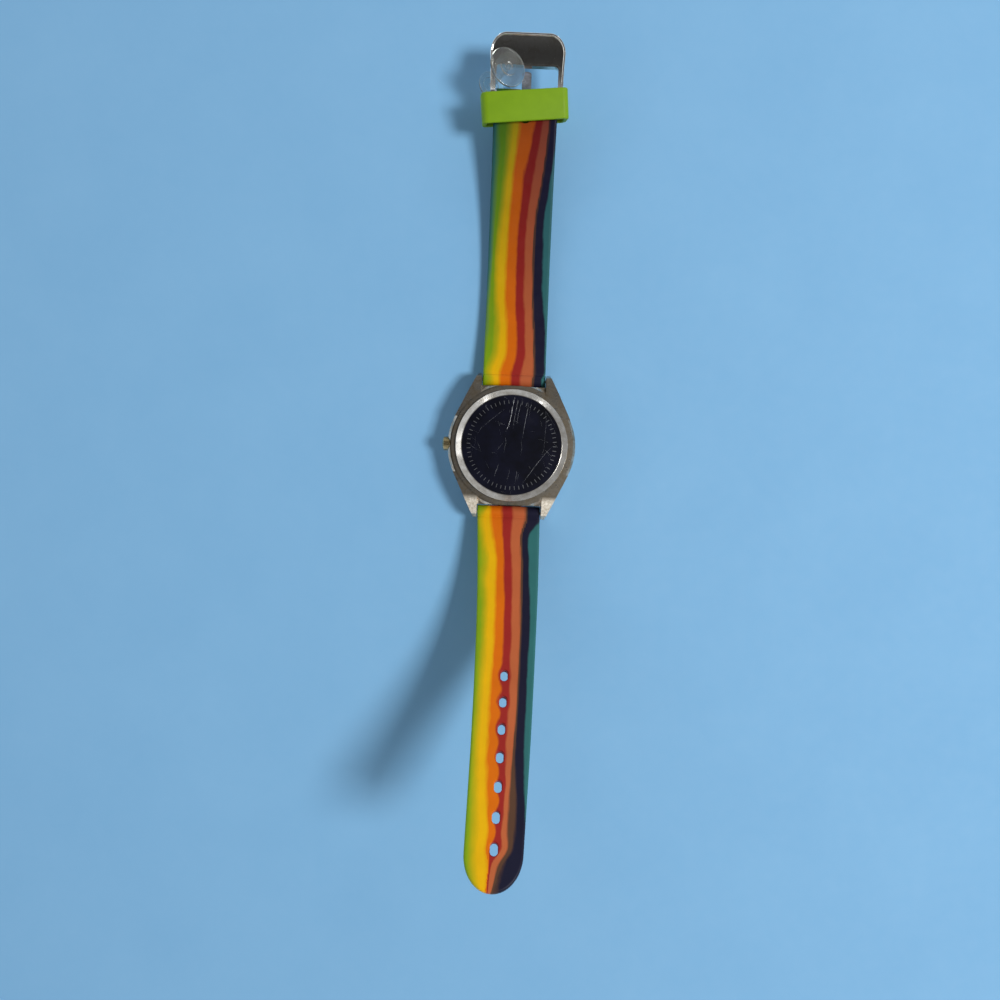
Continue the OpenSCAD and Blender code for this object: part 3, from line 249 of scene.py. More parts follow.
def clear(name, colour, shade, ior, rough=(0.02, 0.1), sheer=1.0):
    """Clear glass or plastic with a little haze."""
    f = Finish(name, transmission_weight=sheer, ior=ior)
    haze = f.noise(330, 5, 0.6)
    f.colour(f.ramp(haze, [(0.35, tint(colour)), (0.8, tint(shade))]))
    f.roughness(f.span(haze, 0.4, 0.75, *rough))
    f.bump(f.noise(700, 2), 0.006 * MM, 0.3)
    return f.material


# The caseback's flat reaches out to this radius, in mm, with a soft edge to the bevel.
BACK_FLAT_R = 12.6
BACK_EDGE_SOFT = 0.12


def caseback_finish():
    """A near-black flat inside the bevel, whose dark is a painted reflection of the dark ceiling it mirrors,
    and polished steel on the bevel and the rim.
    """
    f = Finish("caseback_finish")
    flat = f.add("VectorMath", {0: f.place(), 1: (1, 1, 0)}, operation="MULTIPLY")
    radius = f.add("VectorMath", {0: flat}, output="Value", operation="LENGTH")
    steel = f.span(radius, (BACK_FLAT_R - BACK_EDGE_SOFT) * MM, (BACK_FLAT_R + BACK_EDGE_SOFT) * MM)
    cloud = f.noise(190, 5, 0.6)
    hair = f.noise(700, 5, 0.75, vector=f.stretched((5, 0.3, 1), (0, 0, 0.25)))
    # Painted reflection: the flat is coloured near-black for the dark ceiling it mirrors, with grey
    # hairlines mixed in.
    flat_with_painted_reflection = f.ramp(cloud, [(0.3, tint("#05060c")), (0.6, tint("#0b0d1e")), (0.85, tint("#1a1b26"))])
    flat_with_painted_reflection = f.mix(f.span(hair, 0.66, 0.8, 0, 0.25), flat_with_painted_reflection, tint("#3c3e44"))
    bare = f.ramp(f.noise(520, 5, 0.6), [(0.35, tint("#cfcdc8")), (0.75, tint("#a59f94"))])
    f.colour(f.mix(steel, flat_with_painted_reflection, bare))
    f.feed(f.shader.inputs["Metallic"], steel)
    f.feed(f.shader.inputs["Specular IOR Level"], 0.2)
    f.roughness(f.sum(f.span(steel, 0, 1, 0.3, 0.14), f.product(cloud, 0.12)))
    f.bump(f.sum(hair, f.noise(4200, 2)), 0.004 * MM, 0.5)
    return f.material


# The lower lugs are worn bright past this place along and this place across, each with a soft edge.
WORN_FROM_Y = -12.6
WORN_SOFT_Y = 1.4
WORN_FROM_X = 7.6
WORN_SOFT_X = 0.5
# The plating is polished up to the one height and stained from the other.
POLISHED_TO_Z = 2.2
STAINED_FROM_Z = 4.4


def case_finish():
    """Plating: polished at the front, stained and dull at the back, worn bright on the two lower lugs."""
    f = Finish("worn_plating", metallic=1.0)
    stains, fine, hair = metal_wear(f)
    across = f.add("Math", {0: f.axis("X")}, operation="ABSOLUTE")
    low = f.span(f.axis("Y"), WORN_FROM_Y * MM, (WORN_FROM_Y - WORN_SOFT_Y) * MM)
    worn = f.product(low, f.span(across, WORN_FROM_X * MM, (WORN_FROM_X + WORN_SOFT_X) * MM))
    back = f.span(f.axis("Z"), POLISHED_TO_Z * MM, STAINED_FROM_Z * MM)
    polished = f.ramp(stains, [(0.4, tint("#dcd8d0")), (0.75, tint("#c2bbae"))])
    dull = f.ramp(stains, [(0.35, tint("#cac4b9")), (0.55, tint("#a49a8a")), (0.72, tint("#7a6e5b"))])
    bare = f.ramp(f.noise(1500, 5, 0.7), [(0.35, tint("#fbf6ec")), (0.7, tint("#b9ae98"))])
    f.colour(f.mix(back, polished, f.mix(worn, dull, bare)))
    satin = f.sum(metal_roughness(f, stains, hair, (0.22, 0.45)), f.product(worn, 0.25))
    f.roughness(f.product(satin, f.span(back, 0, 1, 0.5, 1)))
    f.bump(f.sum(fine, hair), 0.01 * MM, 0.7)
    return f.material


# The stripes' colours from left to right: teal, green, yellow, orange, red, salmon, brown, navy, teal.
STRIPES_BRIGHT = [
    "#3f7c74", "#84a614", "#eeb608", "#e07009", "#a02a24", "#c2663c", "#5c4030", "#1b1b30", "#326e6d"]
# The darker set is partly the strap's own deeper colour and partly painted shade, for the upper strap that
# lies turned from the lamp.
STRIPES_DEEP_AND_SHADED = [
    "#1a4647", "#335b12", "#796e06", "#843807", "#59080c", "#622921", "#24131a", "#070624", "#1e4a55"]
# Half the width of each blend between two stripes, on a ramp from 0 to 1.
STRIPE_SOFT = [0.035, 0.045, 0.022, 0.014, 0.014, 0.022, 0.018, 0.012]
STRIPE_EDGES = len(STRIPE_SOFT)


def stripe_stops(colours):
    """Ramp stops for stripes whose edges lie at equal steps of the ramp."""
    stops = [(0.0, tint(colours[0]))]
    for i, half in enumerate(STRIPE_SOFT):
        at = (i + 1) / (STRIPE_EDGES + 1)
        stops.append((at - half, tint(colours[i])))
        stops.append((at + half, tint(colours[i + 1])))
    return stops


def strap_finish():
    """Satin silicone with stripes run together in the mould."""
    f = Finish("strap_rubber", specular_ior_level=0.15)
    stripe = f.add("Attribute", {}, output="Fac", attribute_name="stripe")
    deep_and_shade = f.add("Attribute", {}, output="Fac", attribute_name="deep_and_shade")
    drift = f.noise(1, 3, 0.5, vector=f.stretched((260, 70, 70)))
    fray = f.noise(1, 4, 0.6, vector=f.stretched((900, 380, 380)))
    wobble = f.sum(f.span(drift, 0, 1, -0.03, 0.03), f.span(fray, 0, 1, -0.012, 0.012))
    at = f.sum(stripe, wobble)
    bright = f.ramp(at, stripe_stops(STRIPES_BRIGHT))
    dark = f.ramp(at, stripe_stops(STRIPES_DEEP_AND_SHADED))
    mottle = f.ramp(f.noise(150, 5, 0.6), [(0.3, (0.9, 0.9, 0.9)), (0.7, (1, 1, 1))])
    # Mixed towards the darker set along the strap: partly the strap's own colour, partly painted shade.
    f.colour(f.mix(1.0, f.mix(deep_and_shade, bright, dark), mottle, "MULTIPLY"))
    f.roughness(f.span(f.noise(500, 4, 0.6), 0.3, 0.7, 0.4, 0.52))
    f.bump(f.sum(f.noise(2600, 3), f.noise(240, 2)), 0.012 * MM, 0.5)
    return f.material


# The coil's slant in the movement, in radians.
WINDING_TURN = -0.62


def winding_finish():
    """Copper with fine turns across the coil's length."""
    f = Finish("copper_winding", metallic=1.0)
    lengthwise = f.stretched((1, 1, 1), (0, 0, WINDING_TURN))
    turns = f.add("TexWave", {"Vector": lengthwise, "Scale": 9000, "Distortion": 0.3})
    f.colour(f.ramp(turns, [(0.2, tint("#5c2a12")), (0.8, tint("#c2703c"))]))
    f.roughness(f.span(f.noise(2000), 0.3, 0.7, 0.25, 0.4))
    f.bump(turns, 0.03 * MM)
    return f.material


def dial_finish():
    """White paint with a fine sunray."""
    f = Finish("dial_paint")
    ray = f.add("TexGradient", {"Vector": f.place()}, output="Fac", gradient_type="RADIAL")
    beams = f.noise(60, 4, 0.6, vector=f.add("CombineXYZ", {0: ray, 1: 0.0, 2: 0.0}))
    f.colour(f.ramp(beams, [(0.35, tint("#f0efe9")), (0.7, tint("#e2e1da"))]))
    f.roughness(f.span(f.noise(1500), 0.3, 0.7, 0.35, 0.5))
    f.bump(f.noise(4000, 2), 0.003 * MM, 0.4)
    return f.material


def floor_finish():
    """Pale blue paper, nearly even."""
    f = Finish("floor_paper")
    f.colour(f.ramp(f.noise(35, 5, 0.6), [(0.3, tint("#7bb2dd")), (0.75, tint("#80b6e0"))]))
    f.roughness(f.span(f.noise(300), 0.3, 0.7, 0.75, 0.9))
    f.bump(f.noise(2400, 3), 0.02 * MM, 0.3)
    return f.material


plated = case_finish()
chrome = worn_metal("bright_chrome", "#f3f2ee", "#c6c0b4", rough=(0.06, 0.16), wear=(0.45, 0.8), depth=0.002)
dull_chrome = worn_metal("dull_chrome", "#b79e90", "#7a675c", rough=(0.26, 0.42))
crown_gold = worn_metal("pale_gold", "#d2c6a0", "#a08f66", rough=(0.2, 0.4))
nickel = worn_metal("nickel_plate", "#c4c4c0", "#a5a49f", patch=900)
steel = worn_metal("ground_steel", "#b3b3b2", "#8b8a88", patch=1500, rough=(0.25, 0.45))
brass = worn_metal("wheel_brass", "#dcc06c", "#b89648", patch=1800, rough=(0.15, 0.3))
cell = worn_metal("cell_steel", "#cfcfcd", "#adadaa", patch=700, rough=(0.1, 0.25))
can = worn_metal("drawn_can", "#c8c8c8", "#a2a2a2", patch=1400, rough=(0.2, 0.35))
iron = worn_metal("soft_iron", "#8d8d90", "#66666a", patch=1300, rough=(0.3, 0.5))
ink = moulded("dial_ink", "#16161a", "#26262c", rough=(0.2, 0.35))
red_paint = moulded("red_paint", "#c2201a", "#a81812", rough=(0.2, 0.35))
holder = moulded("holder_plastic", "#ddd9cc", "#cbc6b6")
seal = moulded("black_seal", "#141414", "#232323", rough=(0.6, 0.75))
white_seal = moulded("white_seal", "#e2e1db", "#d2d0c8", rough=(0.45, 0.6))
board = moulded("green_board", "#0f6b3a", "#0a5530", rough=(0.2, 0.35))
chip = moulded("chip_black", "#151515", "#202020", rough=(0.5, 0.65))
lime = moulded("lime_rubber", "#7a9f1a", "#729718", rough=(0.42, 0.55), grain=1800, depth=0.012, sheen=0.15)
glass = clear("crystal_glass", "#f6fbfb", "#eaf3f3", 1.5)
tag_plastic = clear("tag_plastic", "#f4f6f4", "#e4e8e6", 1.46, rough=(0.01, 0.05), sheer=0.97)
scratch = worn_metal("scratch_steel", "#b0b2b6", "#50535a", patch=1400, rough=(0.35, 0.5), wear=(0.4, 0.62))
engraved = worn_metal("engraved_ticks", "#a2a5a8", "#6c6f74", patch=1200, rough=(0.3, 0.5))
rubber = strap_finish()

NODE_FINISH = {
    plated: ["case_body", "bezel"],
    chrome: ["buckle_frame", "buckle_bar"],
    dull_chrome: ["buckle_tongue"],
    crown_gold: ["crown"],
    caseback_finish(): ["caseback"],
    glass: ["crystal"],
    white_seal: ["crystal_gasket"],
    seal: ["caseback_gasket", "crown_gasket"],
    dial_finish(): ["dial"],
    ink: ["hour_markers", "hour_hand", "minute_hand"],
    red_paint: ["second_hand"],
    holder: ["movement_holder"],
    nickel: ["main_plate", "train_bridge", "crown_tube", "battery_clip"],
    steel: [
        "bridge_screws", "setting_stem", "clutch_wheel", "setting_lever", "spring_bar_12", "spring_bar_6",
        "tip_12_left", "tip_12_right", "tip_6_left", "tip_6_right"],
    brass: [
        "fifth_wheel", "fourth_wheel", "third_wheel", "centre_wheel", "cannon_pinion", "minute_wheel",
        "hour_wheel", "setting_wheel"],
    cell: ["battery"],
    board: ["circuit_board"],
    can: ["quartz_can"],
    chip: ["chip"],
    iron: ["coil_core", "stator", "rotor"],
    winding_finish(): ["coil_winding"],
    tag_plastic: ["tag_stud", "tag_cap"],
}
# How far the sharp edges of a node are rounded off, in mm.
EDGE_SOFT = {
    "case_body": 0.18, "bezel": 0.14, "caseback": 0.06, "crown": 0.05, "buckle_frame": 0.08,
    "buckle_tongue": 0.22, "tag_stud": 0.12, "tag_cap": 0.12, "crystal": 0.05, "hour_markers": 0.03,
    "buckle_bar": 0.05}
WELD_GAP = 0.0005
FLAT_ANGLE = math.radians(0.4)
EDGE_ANGLE = math.radians(28)
EDGE_STEPS = 3


def soften(piece, width):
    """Rounds a CAD node's sharp edges with modifiers, leaving its mesh alone."""
    weld = piece.modifiers.new("weld", "WELD")
    weld.merge_threshold = WELD_GAP * MM
    flat = piece.modifiers.new("flat", "DECIMATE")
    flat.decimate_type = "DISSOLVE"
    flat.angle_limit = FLAT_ANGLE
    bevel = piece.modifiers.new("edge", "BEVEL")
    bevel.width = width * MM
    bevel.segments = EDGE_STEPS
    bevel.limit_method = "ANGLE"
    bevel.angle_limit = EDGE_ANGLE
    bevel.miter_outer = "MITER_ARC"
    normal = piece.modifiers.new("normal", "WEIGHTED_NORMAL")
    normal.keep_sharp = False


for material, nodes in NODE_FINISH.items():
    for node in nodes:
        piece = frame["nodes"][node]
        piece.data.materials.clear()
        piece.data.materials.append(material)
        if node in EDGE_SOFT:
            soften(piece, EDGE_SOFT[node])


# Meshes


def new_piece(name, points, faces, material, rounded=True):
    """A mesh piece from points in mm; rounded shades its faces as one smooth surface."""
    mesh = bpy.data.meshes.new(name)
    mesh.from_pydata([tuple(Vector(p) * MM) for p in points], [], faces)
    mesh.validate()
    made = bpy.data.objects.new(name, mesh)
    bpy.context.scene.collection.objects.link(made)
    mesh.materials.append(material)
    for polygon in mesh.polygons:
        polygon.use_smooth = rounded
    return made


def joined(a, b, count):
    """Faces between two rings of points, one from index a and one from index b."""
    return [(a + i, a + (i + 1) % count, b + (i + 1) % count, b + i) for i in range(count)]


# Points nearer than this, in mm, are merged; the straps and the finest marks take a gap of their own.
MERGE_GAP = 0.001
STRAP_MERGE_GAP = 0.004
CUTTER_MERGE_GAP = 0.0001
TICK_MERGE_GAP = 0.0005
SCRATCH_MERGE_GAP = 0.00001


def cleaned(piece, gap=MERGE_GAP):
    """Merges points that coincide and turns the faces outward."""
    bm = bmesh.new()
    bm.from_mesh(piece.data)
    bmesh.ops.remove_doubles(bm, verts=bm.verts, dist=gap * MM)
    bmesh.ops.dissolve_degenerate(bm, dist=gap * MM, edges=bm.edges)
    bmesh.ops.recalc_face_normals(bm, faces=bm.faces)
    bm.to_mesh(piece.data)
    bm.free()


def cut(piece, tool):
    """Takes the tool's shape out of the piece, for good."""
    modifier = piece.modifiers.new("cut", "BOOLEAN")
    modifier.operation = "DIFFERENCE"
    modifier.solver = "EXACT"
    modifier.object = tool
    graph = bpy.context.evaluated_depsgraph_get()
    made = bpy.data.meshes.new_from_object(piece.evaluated_get(graph))
    piece.modifiers.clear()
    piece.data = made
    bpy.data.objects.remove(tool)


def joint_place(name):
    """A joint's place at rest, in mm."""
    joint = next(j for j in frame["joints"] if j["name"] == name)
    return Vector(joint["pos_m"]) / MM


# Straps, with sizes in mm

STRAP_W = 16
STRAP_T = 2.1
STRAP_EDGE = 0.55
BOSS_R = 1.6
# The upper strap is one arc; its end at the buckle bar, the pin, is narrower.
UPPER_R = 145
PIN_BOSS_R = 1.05
PIN_END_W = 15
PIN_NECK = 2.6
NECK_SHARE = 0.35
# The lower strap bends from one slope to the other, then runs nearly straight.
LOWER_R = 107
LOWER_START = math.radians(8)
LOWER_TURN = math.radians(34)
TIP_R = 2000
LOWER_LEN = 88
TIP_W = 12.6
TIP_LEN = 7.5
CREASE_AT = 1.42
CREASE_W = 0.26
CREASE_DEPTH = 0.12
BORE_R = 0.8
# Steps across a face and round a corner of the section, and the distance between sections.
ACROSS = 40
CORNER = 6
STATION = 0.55

bar = joint_place("strap_12_hinge")
pin = joint_place("tongue_hinge")
chord = Vector((pin.y - bar.y, pin.z - bar.z))
upper_start = math.atan2(chord.y, chord.x) - math.asin(chord.length / 2 / UPPER_R)
UPPER_LEN = 2 * UPPER_R * math.asin(chord.length / 2 / UPPER_R)
LOWER_BEND = LOWER_R * (LOWER_TURN - LOWER_START)


def smooth(at, table):
    """A smooth curve through a table of (place, value), level beyond its ends."""
    at = min(max(at, table[0][0]), table[-1][0])
    k = max(i for i in range(len(table) - 1) if table[i][0] <= at or i == 0)
    slopes = []
    for i in (k, k + 1):
        (x0, y0), (x1, y1) = table[max(i - 1, 0)], table[min(i + 1, len(table) - 1)]
        slopes.append((y1 - y0) / (x1 - x0))
    (x0, y0), (x1, y1) = table[k], table[k + 1]
    step = x1 - x0
    t = (at - x0) / step
    return (
        y0 * (1 + 2 * t) * (1 - t) ** 2 + slopes[0] * step * t * (1 - t) ** 2
        + y1 * t * t * (3 - 2 * t) - slopes[1] * step * t * t * (1 - t))


# How far the lower strap lies to the right of a straight line, as the photo shows it.
LOWER_BOW = [(0, 0), (22, 0.5), (52, 0.25), (80, -0.55), (88, -0.75)]


def lower_bow(s):
    return smooth(s, LOWER_BOW)


def straight(s):
    return 0


def share_of(at, low, high):
    """How far a place lies from low to high, held between 0 and 1."""
    return min(1, max(0, (at - low) / (high - low)))


def arc_centre(start, angle, radius):
    """The centre of an arc that leaves its start at this slope and bends upward."""
    return start + radius * Vector((-math.sin(angle), math.cos(angle)))


upper_centre = arc_centre(Vector((bar.y, bar.z)), upper_start, UPPER_R)
lower_centre = arc_centre(Vector((bar.y, bar.z)), LOWER_START, LOWER_R)
lower_knee = lower_centre + LOWER_R * Vector((math.sin(LOWER_TURN), -math.cos(LOWER_TURN)))
tip_centre = arc_centre(lower_knee, LOWER_TURN, TIP_R)


def upper_path(s):
    """Place and slope of the upper strap's middle, s mm from its bar."""
    angle = upper_start + s / UPPER_R
    return upper_centre + UPPER_R * Vector((math.sin(angle), -math.cos(angle))), angle


def upper_s(y, z):
    """How far along the upper strap a point lies."""
    return UPPER_R * (math.atan2(y - upper_centre.x, upper_centre.y - z) - upper_start)


def lower_path(s):
    """The same for the lower strap, in a frame where it runs to +Y."""
    if s < LOWER_BEND:
        angle = LOWER_START + s / LOWER_R
        return lower_centre + LOWER_R * Vector((math.sin(angle), -math.cos(angle))), angle
    angle = LOWER_TURN + (s - LOWER_BEND) / TIP_R
    return tip_centre + TIP_R * Vector((math.sin(angle), -math.cos(angle))), angle


def lower_s(y, z):
    """How far along the lower strap a point lies, in the same frame."""
    angle = math.atan2(y - lower_centre.x, lower_centre.y - z)
    if angle < LOWER_TURN:
        return LOWER_R * (angle - LOWER_START)
    return LOWER_BEND + TIP_R * (math.atan2(y - tip_centre.x, tip_centre.y - z) - LOWER_TURN)


def boss(s, at, radius):
    """Half the thickness of a round boss, or 0 beyond it."""
    return math.sqrt(max(0.0, radius ** 2 - (s - at) ** 2))


def upper_half(s):
    """Half the upper strap's thickness, with a round boss at each end."""
    ends = max(boss(s, 0, BOSS_R), boss(s, UPPER_LEN, PIN_BOSS_R))
    return max(STRAP_T / 2, ends) if 0 <= s <= UPPER_LEN else ends


def lower_half(s):
    return max(STRAP_T / 2, boss(s, 0, BOSS_R)) if s >= 0 else boss(s, 0, BOSS_R)


def crease(s):
    """The depth of the fine crease across the strap beside its bar."""
    return CREASE_DEPTH * math.exp(-((s - CREASE_AT) / CREASE_W) ** 2)


def upper_side(s, inset):
    """Half the upper strap's width, inset from its outline, narrower at the buckle bar."""
    neck = share_of(s, UPPER_LEN - PIN_NECK, UPPER_LEN - PIN_NECK + NECK_SHARE * PIN_NECK)
    neck = neck * neck * (3 - 2 * neck)
    return (STRAP_W - (STRAP_W - PIN_END_W) * neck) / 2 - inset


def lower_side(s, inset):
    """Half the lower strap's width, inset from its outline, with an elliptic tip."""
    start = LOWER_LEN - TIP_LEN
    if s <= start:
        return STRAP_W / 2 + (TIP_W - STRAP_W) / 2 * share_of(s, BOSS_R, start) - inset
    along = min(1, (s - start) / (TIP_LEN - inset))
    return (TIP_W / 2 - inset) * math.sqrt(max(0.0, 1 - along ** 2))


def section(half):
    """Points round a strap's section: (share across, inset from the outline, height)."""
    r = min(STRAP_EDGE, half)
    top = [(-1 + 2 * i / ACROSS, r, half) for i in range(ACROSS + 1)]
    right = []
    for i in range(1, CORNER + 1):
        a = math.pi / 2 * i / CORNER
        right.append((1, r * (1 - math.sin(a)), half - r + r * math.cos(a)))
    under = [(x, inset, -z) for x, inset, z in reversed(right)]
    low = [(1 - 2 * i / ACROSS, r, -half) for i in range(ACROSS + 1)]
    left = [(-x, inset, z) for x, inset, z in reversed(right + under)]
    return top + right + under + low + left


def on_strap(centre, angle, along, height):
    """Y and Z of a point this far along a strap's slope and above its middle."""
    return (
        centre.x + along * math.cos(angle) - height * math.sin(angle),
        centre.y + along * math.sin(angle) + height * math.cos(angle))


def strap_mesh(name, path, half, side, bow, stations, mirror, end_inset):
    """A strap lofted along its path; between the end_inset places, its sections draw back by their inset."""
    points, faces = [], []
    count = len(section(STRAP_T / 2))
    for row, s in enumerate(stations):
        for share, inset, z in section(half(s)):
            at = s - inset * share_of(s, *end_inset) if end_inset else s
            centre, angle = path(at)
            x = share * side(at, inset) + bow(at)
            if z > 0:
                z -= crease(at)
            y, up = on_strap(centre, angle, 0, z)
            points.append((x, -y if mirror else y, up))
        if row:
            faces += joined((row - 1) * count, row * count, count)
    faces.append(tuple(range(count)))
    faces.append(tuple(range((len(stations) - 1) * count, len(stations) * count)))
    made = new_piece(name, points, faces, rubber)
    cleaned(made, STRAP_MERGE_GAP)
    return made


def spread(low, high, step):
    """Even places from low to just before high, about a step apart."""
    count = max(1, round((high - low) / step))
    return [low + (high - low) * i / count for i in range(count)]


def eased(low, high, count):
    """Places that crowd towards high, as round a rounded end."""
    return [low + (high - low) * math.sin(math.pi / 2 * i / count) for i in range(count + 1)]


# A round end stops just short of its radius, where it still has some thickness.
ROUND_SHARE = 0.999
ROUND_STEPS = 8
ROOT_LEN = 2.4
ROOT_STEP = 0.12
NECK_STEP = 0.15
TIP_STEPS = 26


def root_stations():
    """Places round the boss at the bar and along the strap's root."""
    boss_places = eased(0, BOSS_R * ROUND_SHARE, ROUND_STEPS)
    return [-v for v in reversed(boss_places[1:])] + spread(0, ROOT_LEN, ROOT_STEP)


upper_stations = (
    root_stations() + spread(ROOT_LEN, UPPER_LEN - PIN_NECK, STATION)
    + spread(UPPER_LEN - PIN_NECK, UPPER_LEN, NECK_STEP)
    + eased(UPPER_LEN, UPPER_LEN + PIN_BOSS_R * ROUND_SHARE, ROUND_STEPS))
lower_stations = (
    root_stations() + spread(ROOT_LEN, LOWER_LEN - TIP_LEN, STATION)
    + eased(LOWER_LEN - TIP_LEN, LOWER_LEN, TIP_STEPS))


def cutter(name, rings):
    """A closed cutter from rings of points, each ring in mm."""
    points = [p for ring in rings for p in ring]
    count = len(rings[0])
    faces = [tuple(reversed(range(count))), tuple(range(len(points) - count, len(points)))]
    for row in range(len(rings) - 1):
        faces += joined(row * count, (row + 1) * count, count)
    made = new_piece(name, points, faces, rubber)
    cleaned(made, CUTTER_MERGE_GAP)
    return made


HOLE_W = 1.7
HOLE_LEN = 2.65
HOLE_COUNT = 7
HOLE_PITCH = 6.35
HOLE_TAIL = 8.3
HOLE_FLARE = 0.22
HOLE_SIDES = 40
# The hole's rim, from above the face inward: (depth under the face, share of the flare).
HOLE_RIM = [(-0.4, 2.2), (0, 1), (0.08, 0.5), (0.2, 0.15), (0.36, 0)]
BORE_SIDES = 32
hole_places = [LOWER_LEN - HOLE_TAIL - HOLE_PITCH * i for i in range(HOLE_COUNT)]


def oval(width, length):
    """An oval with round ends, as (across, along) points."""
    reach = (length - width) / 2
    out = []
    for i in range(HOLE_SIDES):
        a = TAU * i / HOLE_SIDES
        out.append((width / 2 * math.cos(a), width / 2 * math.sin(a) + math.copysign(reach, math.sin(a))))
    return out


def hole_cutter(s):
    """An oval hole with a soft, flared rim on both faces of the strap."""
    centre, angle = lower_path(s)
    half = STRAP_T / 2
    levels = [(depth - half, flare) for depth, flare in HOLE_RIM]
    levels += [(-height, flare) for height, flare in reversed(levels)]
    rings = []
    for height, flare in levels:
        grow = 2 * HOLE_FLARE * flare
        ring = []
        for x, along in oval(HOLE_W + grow, HOLE_LEN + grow):
            y, up = on_strap(centre, angle, along, height)
            ring.append((x + lower_bow(s), -y, up))
        rings.append(ring)
    return cutter("hole_cutter", rings)


def bore_cutter(y, z):
    """A round bore right across a strap."""
    ring = []
    for i in range(BORE_SIDES):
        a = TAU * i / BORE_SIDES
        ring.append((y + BORE_R * math.cos(a), z + BORE_R * math.sin(a)))
    return cutter("bore_cutter", [[(x, *p) for p in ring] for x in (-STRAP_W, STRAP_W)])


SLOT_W = 3.1
SLOT_LEN = 5.2
SLOT_STEPS = 20
SLOT_CUT = 3


def slot_cutter():
    """The tongue's slot, open at the buckle end and round at the other."""
    centre, angle = upper_path(UPPER_LEN)
    reach = SLOT_W / 2
    outline = [(reach, PIN_BOSS_R * 2), (-reach, PIN_BOSS_R * 2)]
    for i in range(SLOT_STEPS + 1):
        a = math.pi * i / SLOT_STEPS
        outline.append((-reach * math.cos(a), -SLOT_LEN - reach * math.sin(a)))
    rings = []
    for height in (-SLOT_CUT, SLOT_CUT):
        rings.append([(x, *on_strap(centre, angle, along, height)) for x, along in outline])
    return cutter("slot_cutter", rings)


# Stripe edges as shares of the width, left to right, at places s along each strap.
UPPER_EDGES = [
    (0, [-0.10, 0.137, 0.26, 0.457, 0.61, 0.795, 0.805, 0.94]),
    (2, [-0.10, 0.09, 0.26, 0.46, 0.62, 0.81, 0.82, 0.985]),
    (6.5, [-0.03, 0.176, 0.342, 0.524, 0.66, 0.80, 0.81, 0.98]),
    (10.5, [-0.02, 0.214, 0.343, 0.51, 0.64, 0.79, 0.80, 0.975]),
    (15.8, [0.00, 0.207, 0.33, 0.49, 0.628, 0.77, 0.78, 0.95]),
    (21, [0.02, 0.163, 0.31, 0.47, 0.608, 0.747, 0.757, 0.915]),
    (31.5, [0.057, 0.13, 0.30, 0.46, 0.59, 0.728, 0.738, 0.896]),
    (41.5, [0.062, 0.17, 0.307, 0.473, 0.592, 0.735, 0.745, 0.88]),
    (51.5, [0.07, 0.215, 0.33, 0.526, 0.667, 0.811, 0.821, 0.947]),
    (61, [0.076, 0.26, 0.39, 0.627, 0.75, 0.865, 0.875, 1.00]),
    (72, [0.07, 0.29, 0.44, 0.72, 0.82, 0.895, 0.905, 1.03])]
LOWER_EDGES = [
    (-1, [-0.1, 0.15, 0.20, 0.38, 0.56, 0.785, 0.795, 1.03]),
    (1.9, [-0.1, 0.05, 0.21, 0.39, 0.58, 0.785, 0.795, 1.02]),
    (6, [-0.1, 0.085, 0.25, 0.40, 0.55, 0.705, 0.715, 0.84]),
    (12.5, [-0.1, 0.15, 0.30, 0.43, 0.56, 0.725, 0.735, 0.84]),
    (17.5, [-0.1, 0.11, 0.297, 0.435, 0.576, 0.725, 0.735, 0.853]),
    (23, [-0.1, 0.14, 0.31, 0.457, 0.59, 0.73, 0.74, 0.87]),
    (38, [-0.1, 0.118, 0.294, 0.464, 0.60, 0.742, 0.752, 0.887]),
    (51, [-0.1, 0.103, 0.284, 0.465, 0.59, 0.733, 0.747, 0.897]),
    (60.7, [-0.1, 0.09, 0.275, 0.48, 0.60, 0.71, 0.745, 0.91]),
    (70.2, [-0.1, 0.108, 0.31, 0.535, 0.615, 0.69, 0.82, 0.97]),
    (76.5, [-0.1, 0.125, 0.387, 0.514, 0.606, 0.70, 0.82, 1.02]),
    (79.7, [-0.1, 0.143, 0.36, 0.49, 0.605, 0.72, 0.80, 1.04]),
    (82.7, [-0.1, 0.155, 0.425, 0.432, 0.47, 0.59, 0.655, 1.06]),
    (88, [-0.1, 0.28, 0.41, 0.416, 0.436, 0.49, 0.51, 1.06])]
# Past the outermost edges, the ramp runs to its ends over this share of the width.
EDGE_REACH = 0.12
# How far the colours are darkened at a strap's bar and one upper strap's length away, 0 being bright: partly
# the strap's own deeper colour, partly painted shade.
UPPER_DEEP_AND_SHADE = (0.16, 1)
LOWER_DEEP_AND_SHADE = (0.16, 0)
# The red stripe that holds the holes widens at each of them, partly its own bulge and partly painted shade
# of the hole's wall on its left: (edge, its shift there).
HOLE_SWELL_AND_SHADE = [(3, -0.07), (4, 0.02)]


def swell(s):
    """1 at a hole of the lower strap, 0 halfway to the next."""
    off = min(abs(s - place) for place in hole_places)
    return 0.5 + 0.5 * math.cos(TAU * min(off / HOLE_PITCH, 0.5))


def stripe_at(edges, s, share, swell_and_shade):
    """Where a point lies on the ramp, from its place along and across the strap."""
    here = [smooth(s, [(row[0], row[1][i]) for row in edges]) for i in range(STRIPE_EDGES)]
    # At the holes the red stripe widens, partly as painted shade.
    for i, shift in HOLE_SWELL_AND_SHADE:
        here[i] += shift * swell_and_shade
    steps = [(i + 1) / (STRIPE_EDGES + 1) for i in range(STRIPE_EDGES)]
    return float(np.interp(share, [here[0] - EDGE_REACH, *here, here[-1] + EDGE_REACH], [0, *steps, 1]))


